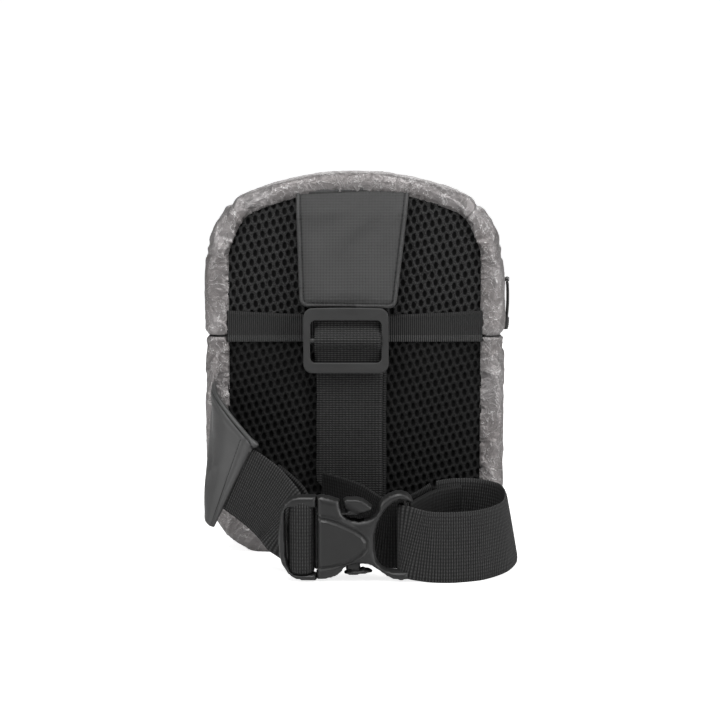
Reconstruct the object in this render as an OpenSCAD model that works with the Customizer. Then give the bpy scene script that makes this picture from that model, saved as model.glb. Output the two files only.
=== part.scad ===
// Sling bag: a zipped puffy pouch with a padded mesh back, worn on one webbing strap
// that adjusts in a tri-glide and closes with a side-release buckle.
// The back face looks along -Y, the bag stands on z = 0, and X runs across its width.
// The pieces are drawn with the back face at y = 0, then set so that the origin is the
// middle of the base.

/* [Bag] */
// Width of the bag across its gusset
bag_w = 172; // [130:1:260]
// Height of the bag at the middle of its top arch
bag_h = 219; // [190:1:320]
// Depth of the bag from the back panel's face to the front panel's face
bag_d = 48; // [40:1:90]
// Radius of the two top corners
corner_top = 34; // [20:1:42]
// Radius of the two bottom corners
corner_bottom = 36; // [20:1:42]
// Radius of the arch between the top corners
arch_r = 174; // [150:1:400]
// Height of the seam where the lower gusset ends and the main zip begins
seam_z = 127; // [115:1:150]
// Thickness of the padded gusset
gusset_t = 2.4; // [1.5:0.1:4]
// Thickness of the padded front panel
front_t = 4; // [3:0.5:8]

/* [Back panel] */
// Width of the shell fabric's border around the mesh
border_w = 11.5; // [8:0.5:20]
// Depth of that border, foam included
border_t = 9; // [7:0.5:14]
// Thickness of the spacer mesh
mesh_t = 3.5; // [2:0.5:5]
// Height of the cross band, bottom edge
band_z = 123.5; // [116:0.5:135]
// Width of the cross band
band_w = 17; // [10:1:25]

/* [Main zip] */
// Distance from the zip's centre line to the front panel's face
zip_setback = 12; // [10:1:16]
// Half of the opening between the two gussets, which holds the zip
zip_half = 4; // [3.5:0.5:5]
// Height of the main slider on the straight side of the zip
slider_z = 157; // [150:1:160]

/* [Pocket zip] */
// Height of the pocket zip's centre line
pocket_z = 100; // [90:1:112]
// Length of the pocket zip's opening
pocket_len = 104; // [70:1:120]
// Depth of the pocket pouch below its zip
pouch_h = 60; // [40:1:80]

/* [Straps] */
// Width of the webbing
web_w = 38; // [25:1:50]
// Thickness of the webbing
web_t = 1.4; // [1:0.1:1.8]
// Where the back strap's centre line lies
strap_x = -3; // [-20:1:20]

/* [Top tab] */
// Width of the tab where it is sewn to the top
tab_top_w = 61; // [46:1:80]
// Width of the tab at its free end
tab_end_w = 51; // [44:1:70]
// Height of the tab's free end
tab_end_z = 143.5; // [135:0.5:160]
// Thickness of the tab
tab_t = 3; // [2:0.5:5]

/* [Hardware] */
// Thickness of the tri-glide
glide_t = 3.2; // [2.5:0.1:5]
// Thickness of the buckle
buckle_t = 12.5; // [11:0.5:16]
// Distance from the back panel's face to the middle of the buckle
buckle_reach = 65.5; // [60:0.5:80]

/* [Hidden] */

gap = 0.3;          // running clearance between pieces that move
flap_gap = 0.4;     // between the flap's lower edge and the pieces under it
seg = 10;           // segments in each quarter of the bag's outline
half_w = bag_w / 2;

// zip: two rows of teeth on two tapes, with a slot between them for the slider's post
tape_t = 0.8;
teeth_t = 1.6;
teeth_w = 2.3;
slot_half = 0.8;
tape_in = 0.9;      // the tape's outer face, inside the gusset's outer face
zip_y = bag_d - zip_setback;
slider_len = 9;
slider_wide = 7.6;
plate_t = 1.2;
post_w = 1.0;
eye_r = 1.5;
crown_r = 0.6;
puller_len = 30;

// lining and inner seams
lining_t = 0.6;
lining_in = gusset_t + 0.5;
lining_back_y = border_t + gap;
lining_front_y = bag_d - front_t - lining_t;
binding_w = 3;
binding_t = 2.4;

// straps on the back, counted from the back face towards the wearer
return_y = -0.4;
strap_y = return_y - web_t - 0.1;
wrap_y = strap_y - web_t - 0.6;
tab_y = strap_y - web_t / 2 - 0.4;
fold_top = 43;      // the folded strap's upper corner
fold_low = fold_top - web_w;

// tri-glide
glide_w = web_w + 10.5;
glide_h = 37;
glide_x = strap_x - 2;
glide_top = tab_end_z - 0.3;
glide_y = wrap_y - web_t / 2 - gap;
glide_bar_top = 6.8;
glide_bar_low = 6;
glide_side = 3.8;
glide_corner = 5;
glide_mid_z = glide_top - glide_h / 2;
glide_mid_r = 1.5;

// buckle, drawn flat: u along X from the joint line, w up from the buckle's centre
web_half = web_w / 2;
buckle_half = web_half + 7.4;
buckle_x = -23.3;
buckle_z = buckle_half;
buckle_y0 = -buckle_reach - buckle_t / 2;
buckle_y1 = -buckle_reach + buckle_t / 2;
wall_t = 2.2;
arm_half_t = buckle_t / 2 - wall_t - gap;
male_len = 17.4;
male_half = web_half + 4.6;
male_corner = 8;
neck_half = 10.6;
shoulder_half = web_half + 4.7;
socket_half = web_half + 1.5;
socket_len = 29;
side_wall = 10;
arm_root_u = 3.2;
arm_root_w = 10;
arm_root_r = 2.6;
arm_tip_w = socket_half - gap;
arm_len = 27;
bite_u = 53;
bite_r = 17.5;
bar_u = 50.5;
bar_r = 2.2;
male_bar_u = -8;
male_bar_r = 1.7;

function arc(cx, cy, r, a0, a1, n) =
    [for (i = [0:n]) [cx + r * cos(a0 + (a1 - a0) * i / n), cy + r * sin(a0 + (a1 - a0) * i / n)]];

// the bag's outline seen from the back, drawn in by d
corner_cx = half_w - corner_top;
corner_cz = bag_h - arch_r + sqrt(pow(arch_r - corner_top, 2) - pow(corner_cx, 2));
arch_a = asin(corner_cx / (arch_r - corner_top));
function outline(d) = concat(
    arc(-(half_w - corner_bottom), corner_bottom, corner_bottom - d, 180, 270, seg),
    arc(half_w - corner_bottom, corner_bottom, corner_bottom - d, 270, 360, seg),
    arc(corner_cx, corner_cz, corner_top - d, 0, 90 - arch_a, seg),
    arc(0, bag_h - arch_r, arch_r - d, 90 - arch_a, 90 + arch_a, seg),
    arc(-corner_cx, corner_cz, corner_top - d, 90 + arch_a, 180, seg));

function unit(v) = v / norm(v);
function lerp(a, b, t) = a + (b - a) * t;
function spline(a, b, c, d, t) =
    0.5 * (2 * b + (c - a) * t + (2 * a - 5 * b + 4 * c - d) * t * t
           + (3 * b - a - 3 * c + d) * t * t * t);
// a smooth run through the points p, k steps from each point to the next
function route(p, k) = concat(
    [for (i = [0:len(p) - 2], j = [0:k - 1])
        spline(p[max(i - 1, 0)], p[i], p[i + 1], p[min(i + 2, len(p) - 1)], j / k)],
    [p[len(p) - 1]]);
function along(p, i) = unit(p[min(i + 1, len(p) - 1)] - p[max(i - 1, 0)]);
function across(v, t) = unit(v - (v * t) * t);

module in_frame() {
    translate([0, -bag_d / 2, 0]) children();
}
// outline pieces, drawn in X-Z and given a depth from y0 to y1
module slab(y0, y1) {
    translate([0, y1, 0]) rotate([90, 0, 0]) linear_extrude(y1 - y0) children();
}
module ring2d(outer, inner) {
    difference() {
        polygon(outline(outer));
        polygon(outline(inner));
    }
}
module above(z) {
    intersection() {
        children();
        translate([-bag_w, z]) square([2 * bag_w, 2 * bag_h]);
    }
}
module below(z) {
    intersection() {
        children();
        translate([-bag_w, z - 2 * bag_h]) square([2 * bag_w, 2 * bag_h]);
    }
}
module rounded(w, h, r) {
    polygon(concat(arc(w / 2 - r, h / 2 - r, r, 0, 90, 6), arc(-w / 2 + r, h / 2 - r, r, 90, 180, 6),
                   arc(-w / 2 + r, -h / 2 + r, r, 180, 270, 6), arc(w / 2 - r, -h / 2 + r, r, 270, 360, 6)));
}

// webbing along the points p, its width lying along the directions v
module webbing(p, v, width = web_w) {
    n = len(p);
    pts = [for (i = [0:n - 1])
        let (t = along(p, i), w = across(v[i], t) * width / 2, m = unit(cross(t, w)) * web_t / 2)
        each [p[i] + w + m, p[i] - w + m, p[i] - w - m, p[i] + w - m]];
    sides = [for (i = [0:n - 2], k = [0:3])
        let (a = 4 * i + k, b = 4 * i + (k + 1) % 4)
        each [[a, a + 4, b + 4], [a, b + 4, b]]];
    ends = [[0, 1, 2], [0, 2, 3], [4 * n - 4, 4 * n - 2, 4 * n - 3], [4 * n - 4, 4 * n - 1, 4 * n - 2]];
    polyhedron(pts, concat(ends, sides));
}
module tube(p, r) {
    n = len(p);
    k = 8;
    pts = [for (i = [0:n - 1])
        let (t = along(p, i), a = across([0, 0, 1] + 0.01 * [1, 0, 0], t), b = cross(t, a))
        each [for (j = [0:k - 1]) p[i] + r * (a * cos(360 * j / k) + b * sin(360 * j / k))]];
    sides = [for (i = [0:n - 2], j = [0:k - 1])
        let (a = k * i + j, b = k * i + (j + 1) % k)
        each [[a, a + k, b + k], [a, b + k, b]]];
    polyhedron(pts, concat([[for (j = [0:k - 1]) j]], [[for (j = [k - 1:-1:0]) k * (n - 1) + j]], sides));
}

// ---- back panel ----
mesh_in = border_w + 0.5;
module mesh_piece() {
    slab(0.5, 0.5 + mesh_t) children();
}
module back_mesh_upper() {
    color("#1d1c1c") mesh_piece() above(band_z + band_w / 2 + 0.2) polygon(outline(mesh_in));
}
module back_mesh_lower() {
    color("#161616") mesh_piece() below(band_z + band_w / 2 - 0.2) polygon(outline(mesh_in));
}
module back_band() {
    color("#2a2a2a") slab(-0.7, 0.45)
        below(band_z + band_w) above(band_z) polygon(outline(border_w + 0.1));
}
module back_band_binding() {
    color("#303030") slab(-1, -0.7)
        below(band_z + 3.6) above(band_z + 0.2) polygon(outline(border_w + 0.1));
}
module back_foam() {
    color("#404040") slab(0.6 + mesh_t, border_t) polygon(outline(mesh_in));
}
module back_border() {
    color("#8a8484") slab(0, border_t) ring2d(1.5, border_w);
}

// ---- shell ----
rear_y = border_t;
module gusset_lower() {
    color("#a2a0a1") slab(rear_y, bag_d - front_t) below(seam_z) ring2d(0, gusset_t);
}
module gusset_upper_rear() {
    color("#a2a0a1") slab(rear_y, zip_y - zip_half) above(seam_z) ring2d(0, gusset_t);
}
module gusset_upper_front() {
    color("#a2a0a1") slab(zip_y + zip_half, bag_d - front_t) above(seam_z + flap_gap) ring2d(0, gusset_t);
}
module front_panel_lower() {
    color("#9a9696") slab(bag_d - front_t, bag_d) difference() {
        below(seam_z) polygon(outline(0));
        translate([-pocket_len / 2, pocket_z - zip_half - 1]) square([pocket_len, 2 * zip_half + 2]);
    }
}
module front_panel_upper() {
    color("#9a9696") slab(bag_d - front_t, bag_d) above(seam_z + flap_gap) polygon(outline(0));
}

// ---- main zip ----
zip_foot = seam_z + 2;
module main_zip_tape_rear() {
    color("#202020") slab(zip_y - zip_half, zip_y - slot_half)
        above(seam_z + flap_gap) ring2d(tape_in, tape_in + tape_t);
}
module main_zip_tape_front() {
    color("#202020") slab(zip_y + slot_half, zip_y + zip_half)
        above(seam_z + flap_gap) ring2d(tape_in, tape_in + tape_t);
}
module main_zip_teeth_rear() {
    color("#151515") slab(zip_y - slot_half - teeth_w, zip_y - slot_half)
        above(zip_foot) ring2d(tape_in - teeth_t, tape_in);
}
module main_zip_teeth_front() {
    color("#151515") slab(zip_y + slot_half, zip_y + slot_half + teeth_w)
        above(zip_foot) ring2d(tape_in - teeth_t, tape_in);
}
module main_zip_stops() {
    color("#303030") for (side = [-1, 1])
        translate([side * (half_w - tape_in + teeth_t / 2), zip_y - slot_half - teeth_w / 2, seam_z + 1.1])
            cube([teeth_t, teeth_w, 1.4], center = true);
}

// slider drawn with its travel along Z, the zip's face looking along +X and the tape's
// outer face at x = 0
plate_x = teeth_t + gap;
module slider() {
    for (x = [-tape_t - gap - plate_t, plate_x])
        translate([x, -slider_wide / 2, -slider_len / 2]) cube([plate_t, slider_wide, slider_len]);
    translate([-tape_t - gap - plate_t / 2, -post_w / 2, slider_len / 2 - 3])
        cube([tape_t + teeth_t + 2 * gap + plate_t, post_w, 2.6]);
    for (y = [-2.4, 1.6])
        translate([plate_x + plate_t / 2, y, -crown_r]) cube([eye_x - plate_x - plate_t / 2 + crown_r, 0.8, 2 * crown_r]);
    translate([eye_x, -2.4, 0]) rotate([-90, 0, 0]) cylinder(h = 4.8, r = crown_r, $fn = 24);
}
eye_x = plate_x + plate_t + 0.25 + eye_r;
// puller: an eye round the slider's crown, a doubled cord and a moulded grip
module puller() {
    eye_in = crown_r + gap;
    cord_r = 0.8;
    difference() {
        union() {
            translate([eye_x, -1.2, 0]) rotate([-90, 0, 0]) cylinder(h = 2.4, r = eye_r, $fn = 24);
            translate([eye_x - cord_r, -1.2, -6]) cube([2 * cord_r, 2.4, 6]);
        }
        translate([eye_x, -2, 0]) rotate([-90, 0, 0]) cylinder(h = 4, r = eye_in, $fn = 24);
    }
    for (y = [-1.3, 1.3])
        translate([eye_x, y, -puller_len + 6]) cylinder(h = puller_len - 11, r = cord_r, $fn = 16);
    translate([eye_x - 1.3, -2.4, -puller_len]) cube([2.6, 4.8, 7]);
}
slider_base_x = half_w - tape_in;
module main_zip_slider() {
    color("#1c1c1c") translate([slider_base_x, zip_y, slider_z]) slider();
}
module main_zip_puller() {
    color("#141414") translate([slider_base_x, zip_y, slider_z]) puller();
}

// ---- front pocket ----
pocket_tape_y = bag_d - tape_in;
pocket_rest_x = pocket_len / 2 - 7;
module pocket_row(from_z, to_z, y0, y1, length) {
    for (side = [-1, 1])
        slab(y0, y1)
            translate([-length / 2, side > 0 ? pocket_z + from_z : pocket_z - to_z])
                square([length, to_z - from_z]);
}
module pocket_zip_tape() {
    color("#202020") pocket_row(slot_half, zip_half + 1, pocket_tape_y - tape_t, pocket_tape_y, pocket_len);
}
module pocket_zip_teeth() {
    color("#151515") pocket_row(slot_half, slot_half + teeth_w, pocket_tape_y, pocket_tape_y + teeth_t,
                                pocket_len - 6);
}
module pocket_zip_stops() {
    color("#303030") for (side = [-1, 1])
        translate([side * (pocket_len / 2 - 1.6), pocket_tape_y + teeth_t / 2, pocket_z])
            cube([1.6, teeth_t, 2 * (slot_half + teeth_w)], center = true);
}
// the pocket's zip face looks along +Y and its slider travels along X
module on_front() {
    translate([pocket_rest_x, pocket_tape_y, pocket_z]) rotate([0, 0, 90]) children();
}
module pocket_zip_slider() {
    color("#1c1c1c") on_front() {
        for (x = [-tape_t - gap - plate_t, plate_x])
            translate([x, -slider_len / 2, -slider_wide / 2]) cube([plate_t, slider_len, slider_wide]);
        translate([-tape_t - gap - plate_t / 2, slider_len / 2 - 3, -post_w / 2])
            cube([tape_t + teeth_t + 2 * gap + plate_t, 2.6, post_w]);
        for (y = [-2.4, 1.6])
            translate([plate_x + plate_t / 2, y, -crown_r])
                cube([eye_x - plate_x - plate_t / 2 + crown_r, 0.8, 2 * crown_r]);
        translate([eye_x, -2.4, 0]) rotate([-90, 0, 0]) cylinder(h = 4.8, r = crown_r, $fn = 24);
    }
}
module pocket_zip_puller() {
    color("#141414") on_front() puller();
}
module pocket_pouch() {
    color("#303438") slab(lining_front_y - 4.4, lining_front_y - 0.4)
        translate([0, pocket_z + 4 - pouch_h / 2]) rounded(pocket_len + 14, pouch_h, 6);
}

// ---- lining and inner seams ----
module lining_body() {
    color("#3a3e42") union() {
        slab(lining_back_y, lining_back_y + lining_t) polygon(outline(lining_in));
        slab(lining_back_y, lining_front_y + lining_t)
            below(seam_z - 1) ring2d(lining_in, lining_in + lining_t);
        slab(lining_front_y, lining_front_y + lining_t) below(seam_z - 1) polygon(outline(lining_in));
    }
}
module lining_flap() {
    color("#3a3e42") slab(lining_front_y, lining_front_y + lining_t - 0.1)
        above(seam_z + 2) polygon(outline(lining_in));
}
module seam_binding_rear() {
    color("#101010") slab(lining_back_y + lining_t, lining_back_y + lining_t + binding_t)
        ring2d(lining_in + lining_t, lining_in + lining_t + binding_w);
}
module seam_binding_front() {
    color("#101010") slab(lining_front_y - binding_t, lining_front_y)
        below(seam_z - 2) ring2d(lining_in + lining_t, lining_in + lining_t + binding_w);
}

// ---- top tab ----
tab_top_z = bag_h - 8;
tab_x = strap_x + 1;
tab_end_x = strap_x - 1.4;
tab_corner = 5;
tab_hem = 8;
module top_tab() {
    color("#4b4a4b") union() {
        slab(tab_y - tab_t, tab_y) polygon(concat(
            [[tab_x + tab_top_w / 2, tab_top_z], [tab_x - tab_top_w / 2, tab_top_z]],
            arc(tab_end_x - tab_end_w / 2 + tab_corner, tab_end_z + tab_corner, tab_corner, 180, 270, 6),
            arc(tab_end_x + tab_end_w / 2 - tab_corner, tab_end_z + tab_corner, tab_corner, 270, 360, 6)));
        slab(tab_y - 0.1, 0) translate([tab_x - tab_top_w / 2, tab_top_z - tab_hem])
            square([tab_top_w, tab_hem]);
    }
}

// ---- strap down the back and its tri-glide ----
module strap_back() {
    color("#282828") slab(strap_y - web_t / 2, strap_y + web_t / 2) polygon([
        [strap_x - web_half, fold_top], [strap_x + web_half, fold_low],
        [strap_x + web_half, tab_top_z - tab_hem - 1], [strap_x - web_half, tab_top_z - tab_hem - 1]]);
}
module strap_return() {
    color("#1c1c1c") slab(return_y - web_t / 2, return_y + web_t / 2) polygon([
        [strap_x + 2 - web_half, fold_top + 2], [strap_x + 2 + web_half, fold_low + 2],
        [strap_x + 2 + web_half, band_z - 6], [strap_x + 2 - web_half, band_z - 6]]);
}
// the part of the strap that passes over the tri-glide's middle bar and moves with it
glide_face_y = glide_y - glide_t / 2;
wrap_points = [
    [0, wrap_y, glide_top - 1], [0, wrap_y, glide_top - glide_bar_top - 1.6],
    [0, glide_face_y + 0.6, glide_top - glide_bar_top - 5.4],
    [0, glide_face_y - glide_mid_r - web_t / 2 - gap, glide_mid_z],
    [0, glide_face_y + 0.6, glide_top - glide_h + glide_bar_low + 5.4],
    [0, wrap_y, glide_top - glide_h + glide_bar_low + 1.6], [0, wrap_y, glide_top - glide_h + 1]];
module strap_glide_wrap() {
    color("#2c2c2c") translate([glide_x + 1, 0, 0]) {
        path = route(wrap_points, 4);
        webbing(path, [for (p = path) [1, 0, 0]]);
    }
}
module tri_glide() {
    color("#4b4b4c") union() {
        slab(glide_y - glide_t, glide_y) difference() {
            translate([glide_x, glide_mid_z]) rounded(glide_w, glide_h, glide_corner);
            translate([glide_x, glide_mid_z + (glide_bar_low - glide_bar_top) / 2])
                rounded(glide_w - 2 * glide_side, glide_h - glide_bar_top - glide_bar_low, 3);
        }
        translate([glide_x - glide_w / 2 + 1, glide_face_y, glide_mid_z]) rotate([0, 90, 0])
            cylinder(h = glide_w - 2, r = glide_mid_r, $fn = 32);
    }
}

// ---- strap behind the buckle, round the loop and back ----
lower_z = (fold_top + fold_low) / 2;
loop_z = web_half + 0.4;
wrap_z = buckle_z - 1.6;
bar_x = buckle_x + bar_u;
bar_y = -buckle_reach;
turn_r = bar_r + gap + web_t / 2;
split_x = 47;
lower_points = [
    [strap_x - web_half + 3, strap_y - web_t - 0.6, lower_z], [strap_x - 8, -12, lower_z],
    [strap_x + 4, -24, lower_z], [strap_x + 15, -34, lower_z - 0.6], [strap_x + 26, -36, lower_z - 1.4],
    [strap_x + 38, -28, lower_z - 2.2], [split_x - 1.8, -18.6, loop_z + 1]];
loop_points = [
    [split_x, -17.6, loop_z + 1], [58, -9.6, loop_z + 0.6], [70, -8.6, loop_z + 0.2],
    [half_w - 4, -14, loop_z], [half_w + 1.5, -28, loop_z], [half_w + 1, -44, loop_z],
    [half_w - 6, -58, loop_z], [half_w - 18, -67, loop_z], [half_w - 34, -72, loop_z],
    [bar_x + 12, bar_y - 5.2, loop_z + 1], [bar_x + 4, bar_y - turn_r - 0.4, wrap_z - 1],
    [bar_x, bar_y - turn_r, wrap_z], [bar_x - 0.7 * turn_r, bar_y - 0.7 * turn_r, wrap_z],
    [bar_x - turn_r, bar_y, wrap_z], [bar_x - 0.7 * turn_r, bar_y + 0.7 * turn_r, wrap_z],
    [bar_x, bar_y + turn_r, wrap_z], [bar_x + 3, bar_y + turn_r + 1.4, wrap_z]];
tail_points = [
    [bar_x + 3.6, bar_y + turn_r + 1.9, wrap_z], [bar_x + 8, -50, wrap_z + 0.2],
    [bar_x + 15, -37, wrap_z + 0.3], [bar_x + 24, -27, wrap_z + 0.4], [bar_x + 33, -21.5, wrap_z + 0.5]];
upright = [0, 0, 1];
module strap_run(points, k) {
    path = route(points, k);
    webbing(path, [for (p = path) upright]);
}
module strap_lower() {
    color("#262626") strap_run(lower_points, 4);
}
module strap_loop() {
    color("#353535") strap_run(loop_points, 3);
}
module strap_tail() {
    color("#303030") strap_run(tail_points, 4);
}

// ---- wing and its strap ----
wing_t = 2;
wing_root_x = -half_w + 4;
wing_low = 33;
wing_high = 98.5;
wing_root = [[wing_root_x, -1.6, wing_low], [wing_root_x + 2, -1.6, wing_high]];
wing_bow = [[wing_root_x - 6, -32, wing_low - 10], [wing_root_x - 3, -26, wing_high + 1]];
wing_end = [[wing_root_x + 3, -31, 22], [wing_root_x + 26, -40, 69.5]];
function wing(u, v) = let (a = lerp(wing_root[0], wing_root[1], v), b = lerp(wing_bow[0], wing_bow[1], v),
    c = lerp(wing_end[0], wing_end[1], v)) (1 - u) * (1 - u) * a + 2 * u * (1 - u) * b + u * u * c;
function wing_normal(u, v) = unit(cross(wing(min(u + 0.02, 1), v) - wing(max(u - 0.02, 0), v),
                                        wing(u, min(v + 0.02, 1)) - wing(u, max(v - 0.02, 0))));
module wing_panel() {
    nu = 12;
    nv = 6;
    row = nv + 1;
    count = (nu + 1) * row;
    pts = [for (side = [1, -1], i = [0:nu], j = [0:nv])
        wing(i / nu, j / nv) + side * wing_normal(i / nu, j / nv) * wing_t / 2];
    skin = [for (i = [0:nu - 1], j = [0:nv - 1])
        let (a = i * row + j)
        each [[a, a + 1, a + row + 1], [a, a + row + 1, a + row]]];
    back = [for (f = skin) [f[0] + count, f[2] + count, f[1] + count]];
    rim = concat([for (i = [0:nu]) i * row], [for (j = [1:nv]) nu * row + j],
                 [for (i = [nu - 1:-1:0]) i * row + nv], [for (j = [nv - 1:-1:1]) j]);
    edge = [for (k = [0:len(rim) - 1])
        let (a = rim[k], b = rim[(k + 1) % len(rim)])
        each [[a, b, b + count], [a, b + count, a + count]]];
    color("#575758") polyhedron(pts, concat([for (f = skin) [f[0], f[2], f[1]]],
        [for (f = back) [f[0], f[2], f[1]]], [for (f = edge) [f[0], f[2], f[1]]]));
}
module wing_binding() {
    color("#3c3c3c") tube([for (i = [0:12]) wing(i / 12, 1) + [0.6, 0, 1.9]], 1.1);
}
wing_mid = (wing_end[0] + wing_end[1]) / 2 + [1.4, 0.6, -0.6];
wing_across = unit(wing_end[1] - wing_end[0]);
male_bar_x = buckle_x + male_bar_u;
male_turn = male_bar_r + gap + web_t / 2;
wing_behind = [male_bar_x - 17, bar_y + 13.6, buckle_z + 0.8];
wing_points = [wing_mid, lerp(wing_mid, wing_behind, 0.35) + [0, -1, 1],
               lerp(wing_mid, wing_behind, 0.7) + [0, 0.6, 0.5], wing_behind];
module wing_strap() {
    path = route(wing_points, 4);
    last = len(path) - 1;
    color("#343434") webbing(path, [for (i = [0:last]) lerp(wing_across, upright, min(1, 1.7 * i / last))]);
}
wing_wrap_points = [
    [male_bar_x - 16.4, bar_y + 13.1, buckle_z + 0.3], [male_bar_x - 10.4, bar_y + 7.9, buckle_z], [male_bar_x - 5.4, bar_y + 6.8, buckle_z],
    [male_bar_x - 3.7, bar_y + 3.2, buckle_z], [male_bar_x - 3.2, bar_y - 0.6, buckle_z],
    [male_bar_x - 0.75 * male_turn, bar_y - 3.6, buckle_z],
    [male_bar_x + 0.6, bar_y - 4.4, buckle_z], [male_bar_x + 3.4, bar_y - 2.8, buckle_z],
    [male_bar_x + 4, bar_y + 1, buckle_z], [male_bar_x + 2.6, bar_y + 6, buckle_z],
    [male_bar_x - 1, bar_y + 9.2, buckle_z]];
module wing_strap_wrap() {
    color("#343434") strap_run(wing_wrap_points, 4);
}
wing_tail_points = [
    [male_bar_x - 1.6, bar_y + 9.6, buckle_z], [male_bar_x - 7, bar_y + 12.6, buckle_z + 1],
    [male_bar_x - 13, bar_y + 17, buckle_z + 3], [male_bar_x - 18, bar_y + 22, buckle_z + 6]];
module wing_strap_tail() {
    path = route(wing_tail_points, 4);
    last = len(path) - 1;
    color("#2c2c2c") webbing(path, [for (i = [0:last]) lerp(upright, wing_across, 0.8 * i / last)]);
}

// ---- buckle ----
module buckle_flat(y0, y1) {
    translate([buckle_x, 0, buckle_z]) slab(y0, y1) children();
}
module both() {
    children();
    mirror([0, 1]) children();
}
module buckle_male() {
    color("#3a393a") union() {
        buckle_flat(buckle_y0 + 2, buckle_y1 - 2) difference() {
            translate([-male_len / 2 - 0.2, 0]) rounded(male_len, 2 * male_half, male_corner);
            translate([male_bar_u, 0]) rounded(male_len - 6, 2 * (web_half + 1), 2);
        }
        translate([male_bar_x, bar_y, buckle_z - web_half - 2])
            cylinder(h = web_w + 4, r = male_bar_r, $fn = 32);
        buckle_flat(bar_y - arm_half_t, bar_y + arm_half_t)
            translate([-1, -3.5]) square([22, 7]);
    }
}
module arm_outline() {
    polygon([[arm_root_u, arm_root_w - arm_root_r], [arm_len - 8, arm_root_w - 1],
             [arm_len - 1, arm_root_w + 1], [arm_len, arm_root_w + 4], [arm_len - 4, arm_tip_w - 1.4],
             [arm_len - 8, arm_tip_w], [arm_len - 15, arm_tip_w - 0.6], [arm_len - 17, arm_tip_w - 3],
             [arm_root_u, arm_root_w + arm_root_r]]);
}
module arm(side) {
    mirror([0, 0, side < 0 ? 1 : 0]) {
        slab(-arm_half_t, arm_half_t) arm_outline();
        translate([arm_root_u, arm_half_t, arm_root_w]) rotate([90, 0, 0])
            cylinder(h = 2 * arm_half_t, r = arm_root_r, $fn = 32);
    }
}
module buckle_arm_top() {
    color("#3a393a") translate([buckle_x, bar_y, buckle_z]) arm(1);
}
module buckle_arm_bottom() {
    color("#3a393a") translate([buckle_x, bar_y, buckle_z]) arm(-1);
}
female_edge = concat(
    [[0.2, 0], [0.2, shoulder_half]],
    arc(side_wall - 5, shoulder_half - 6, 6, 90, 20, 4),
    [[side_wall + 4, shoulder_half - 9.5]],
    arc(side_wall + 18, neck_half + 8.5, 8.5, 215, 305, 6),
    arc(bite_u - 5, buckle_half - 6, 6, 130, 15, 5),
    [[bite_u + 1.4, buckle_half - 9], [bite_u - 2, buckle_half - 10], [bite_u - 2, 0]]);
module buckle_female() {
    color("#3c3b3c") difference() {
        union() {
            difference() {
                buckle_flat(buckle_y0, buckle_y1) both() polygon(female_edge);
                translate([buckle_x - 1, bar_y - arm_half_t - gap, buckle_z - socket_half])
                    cube([socket_len + 1, 2 * (arm_half_t + gap), 2 * socket_half]);
                translate([buckle_x + bite_u, buckle_y1 + 1, buckle_z]) rotate([90, 0, 0])
                    cylinder(h = buckle_t + 2, r = bite_r, $fn = 64);
                translate([buckle_x + bite_u - 11, buckle_y0 - 1, buckle_z - web_half - 1])
                    cube([30, buckle_t + 2, web_w + 2]);
            }
            translate([bar_x, bar_y, buckle_z - buckle_half + 5])
                cylinder(h = 2 * buckle_half - 10, r = bar_r, $fn = 32);
        }
    }
}

in_frame() back_mesh_upper();
in_frame() back_mesh_lower();
in_frame() back_band();
in_frame() back_band_binding();
in_frame() back_foam();
in_frame() back_border();
in_frame() gusset_lower();
in_frame() gusset_upper_rear();
in_frame() gusset_upper_front();
in_frame() front_panel_lower();
in_frame() front_panel_upper();
in_frame() main_zip_tape_rear();
in_frame() main_zip_tape_front();
in_frame() main_zip_teeth_rear();
in_frame() main_zip_teeth_front();
in_frame() main_zip_stops();
in_frame() main_zip_slider();
in_frame() main_zip_puller();
in_frame() pocket_zip_tape();
in_frame() pocket_zip_teeth();
in_frame() pocket_zip_stops();
in_frame() pocket_zip_slider();
in_frame() pocket_zip_puller();
in_frame() pocket_pouch();
in_frame() lining_body();
in_frame() lining_flap();
in_frame() seam_binding_rear();
in_frame() seam_binding_front();
in_frame() top_tab();
in_frame() strap_back();
in_frame() strap_return();
in_frame() strap_lower();
in_frame() strap_glide_wrap();
in_frame() tri_glide();
in_frame() wing_panel();
in_frame() wing_binding();
in_frame() wing_strap();
in_frame() wing_strap_wrap();
in_frame() wing_strap_tail();
in_frame() buckle_male();
in_frame() buckle_arm_top();
in_frame() buckle_arm_bottom();
in_frame() buckle_female();
in_frame() strap_loop();
in_frame() strap_tail();
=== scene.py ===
# %% [markdown]
# # A padded sling bag, seen from its back
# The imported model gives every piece's place. This file gives each piece its real look:
# a crinkled silver shell, an open spacer mesh, webbing, coated fabric and moulded hardware.
# Everything is in metres. Sizes below are written in millimetres and multiplied by `MM`.

# %% Load the frame
import math
import bpy
import bmesh
import numpy as np
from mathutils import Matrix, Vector
from mathutils.geometry import delaunay_2d_cdt
from mathutils.kdtree import KDTree


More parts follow.
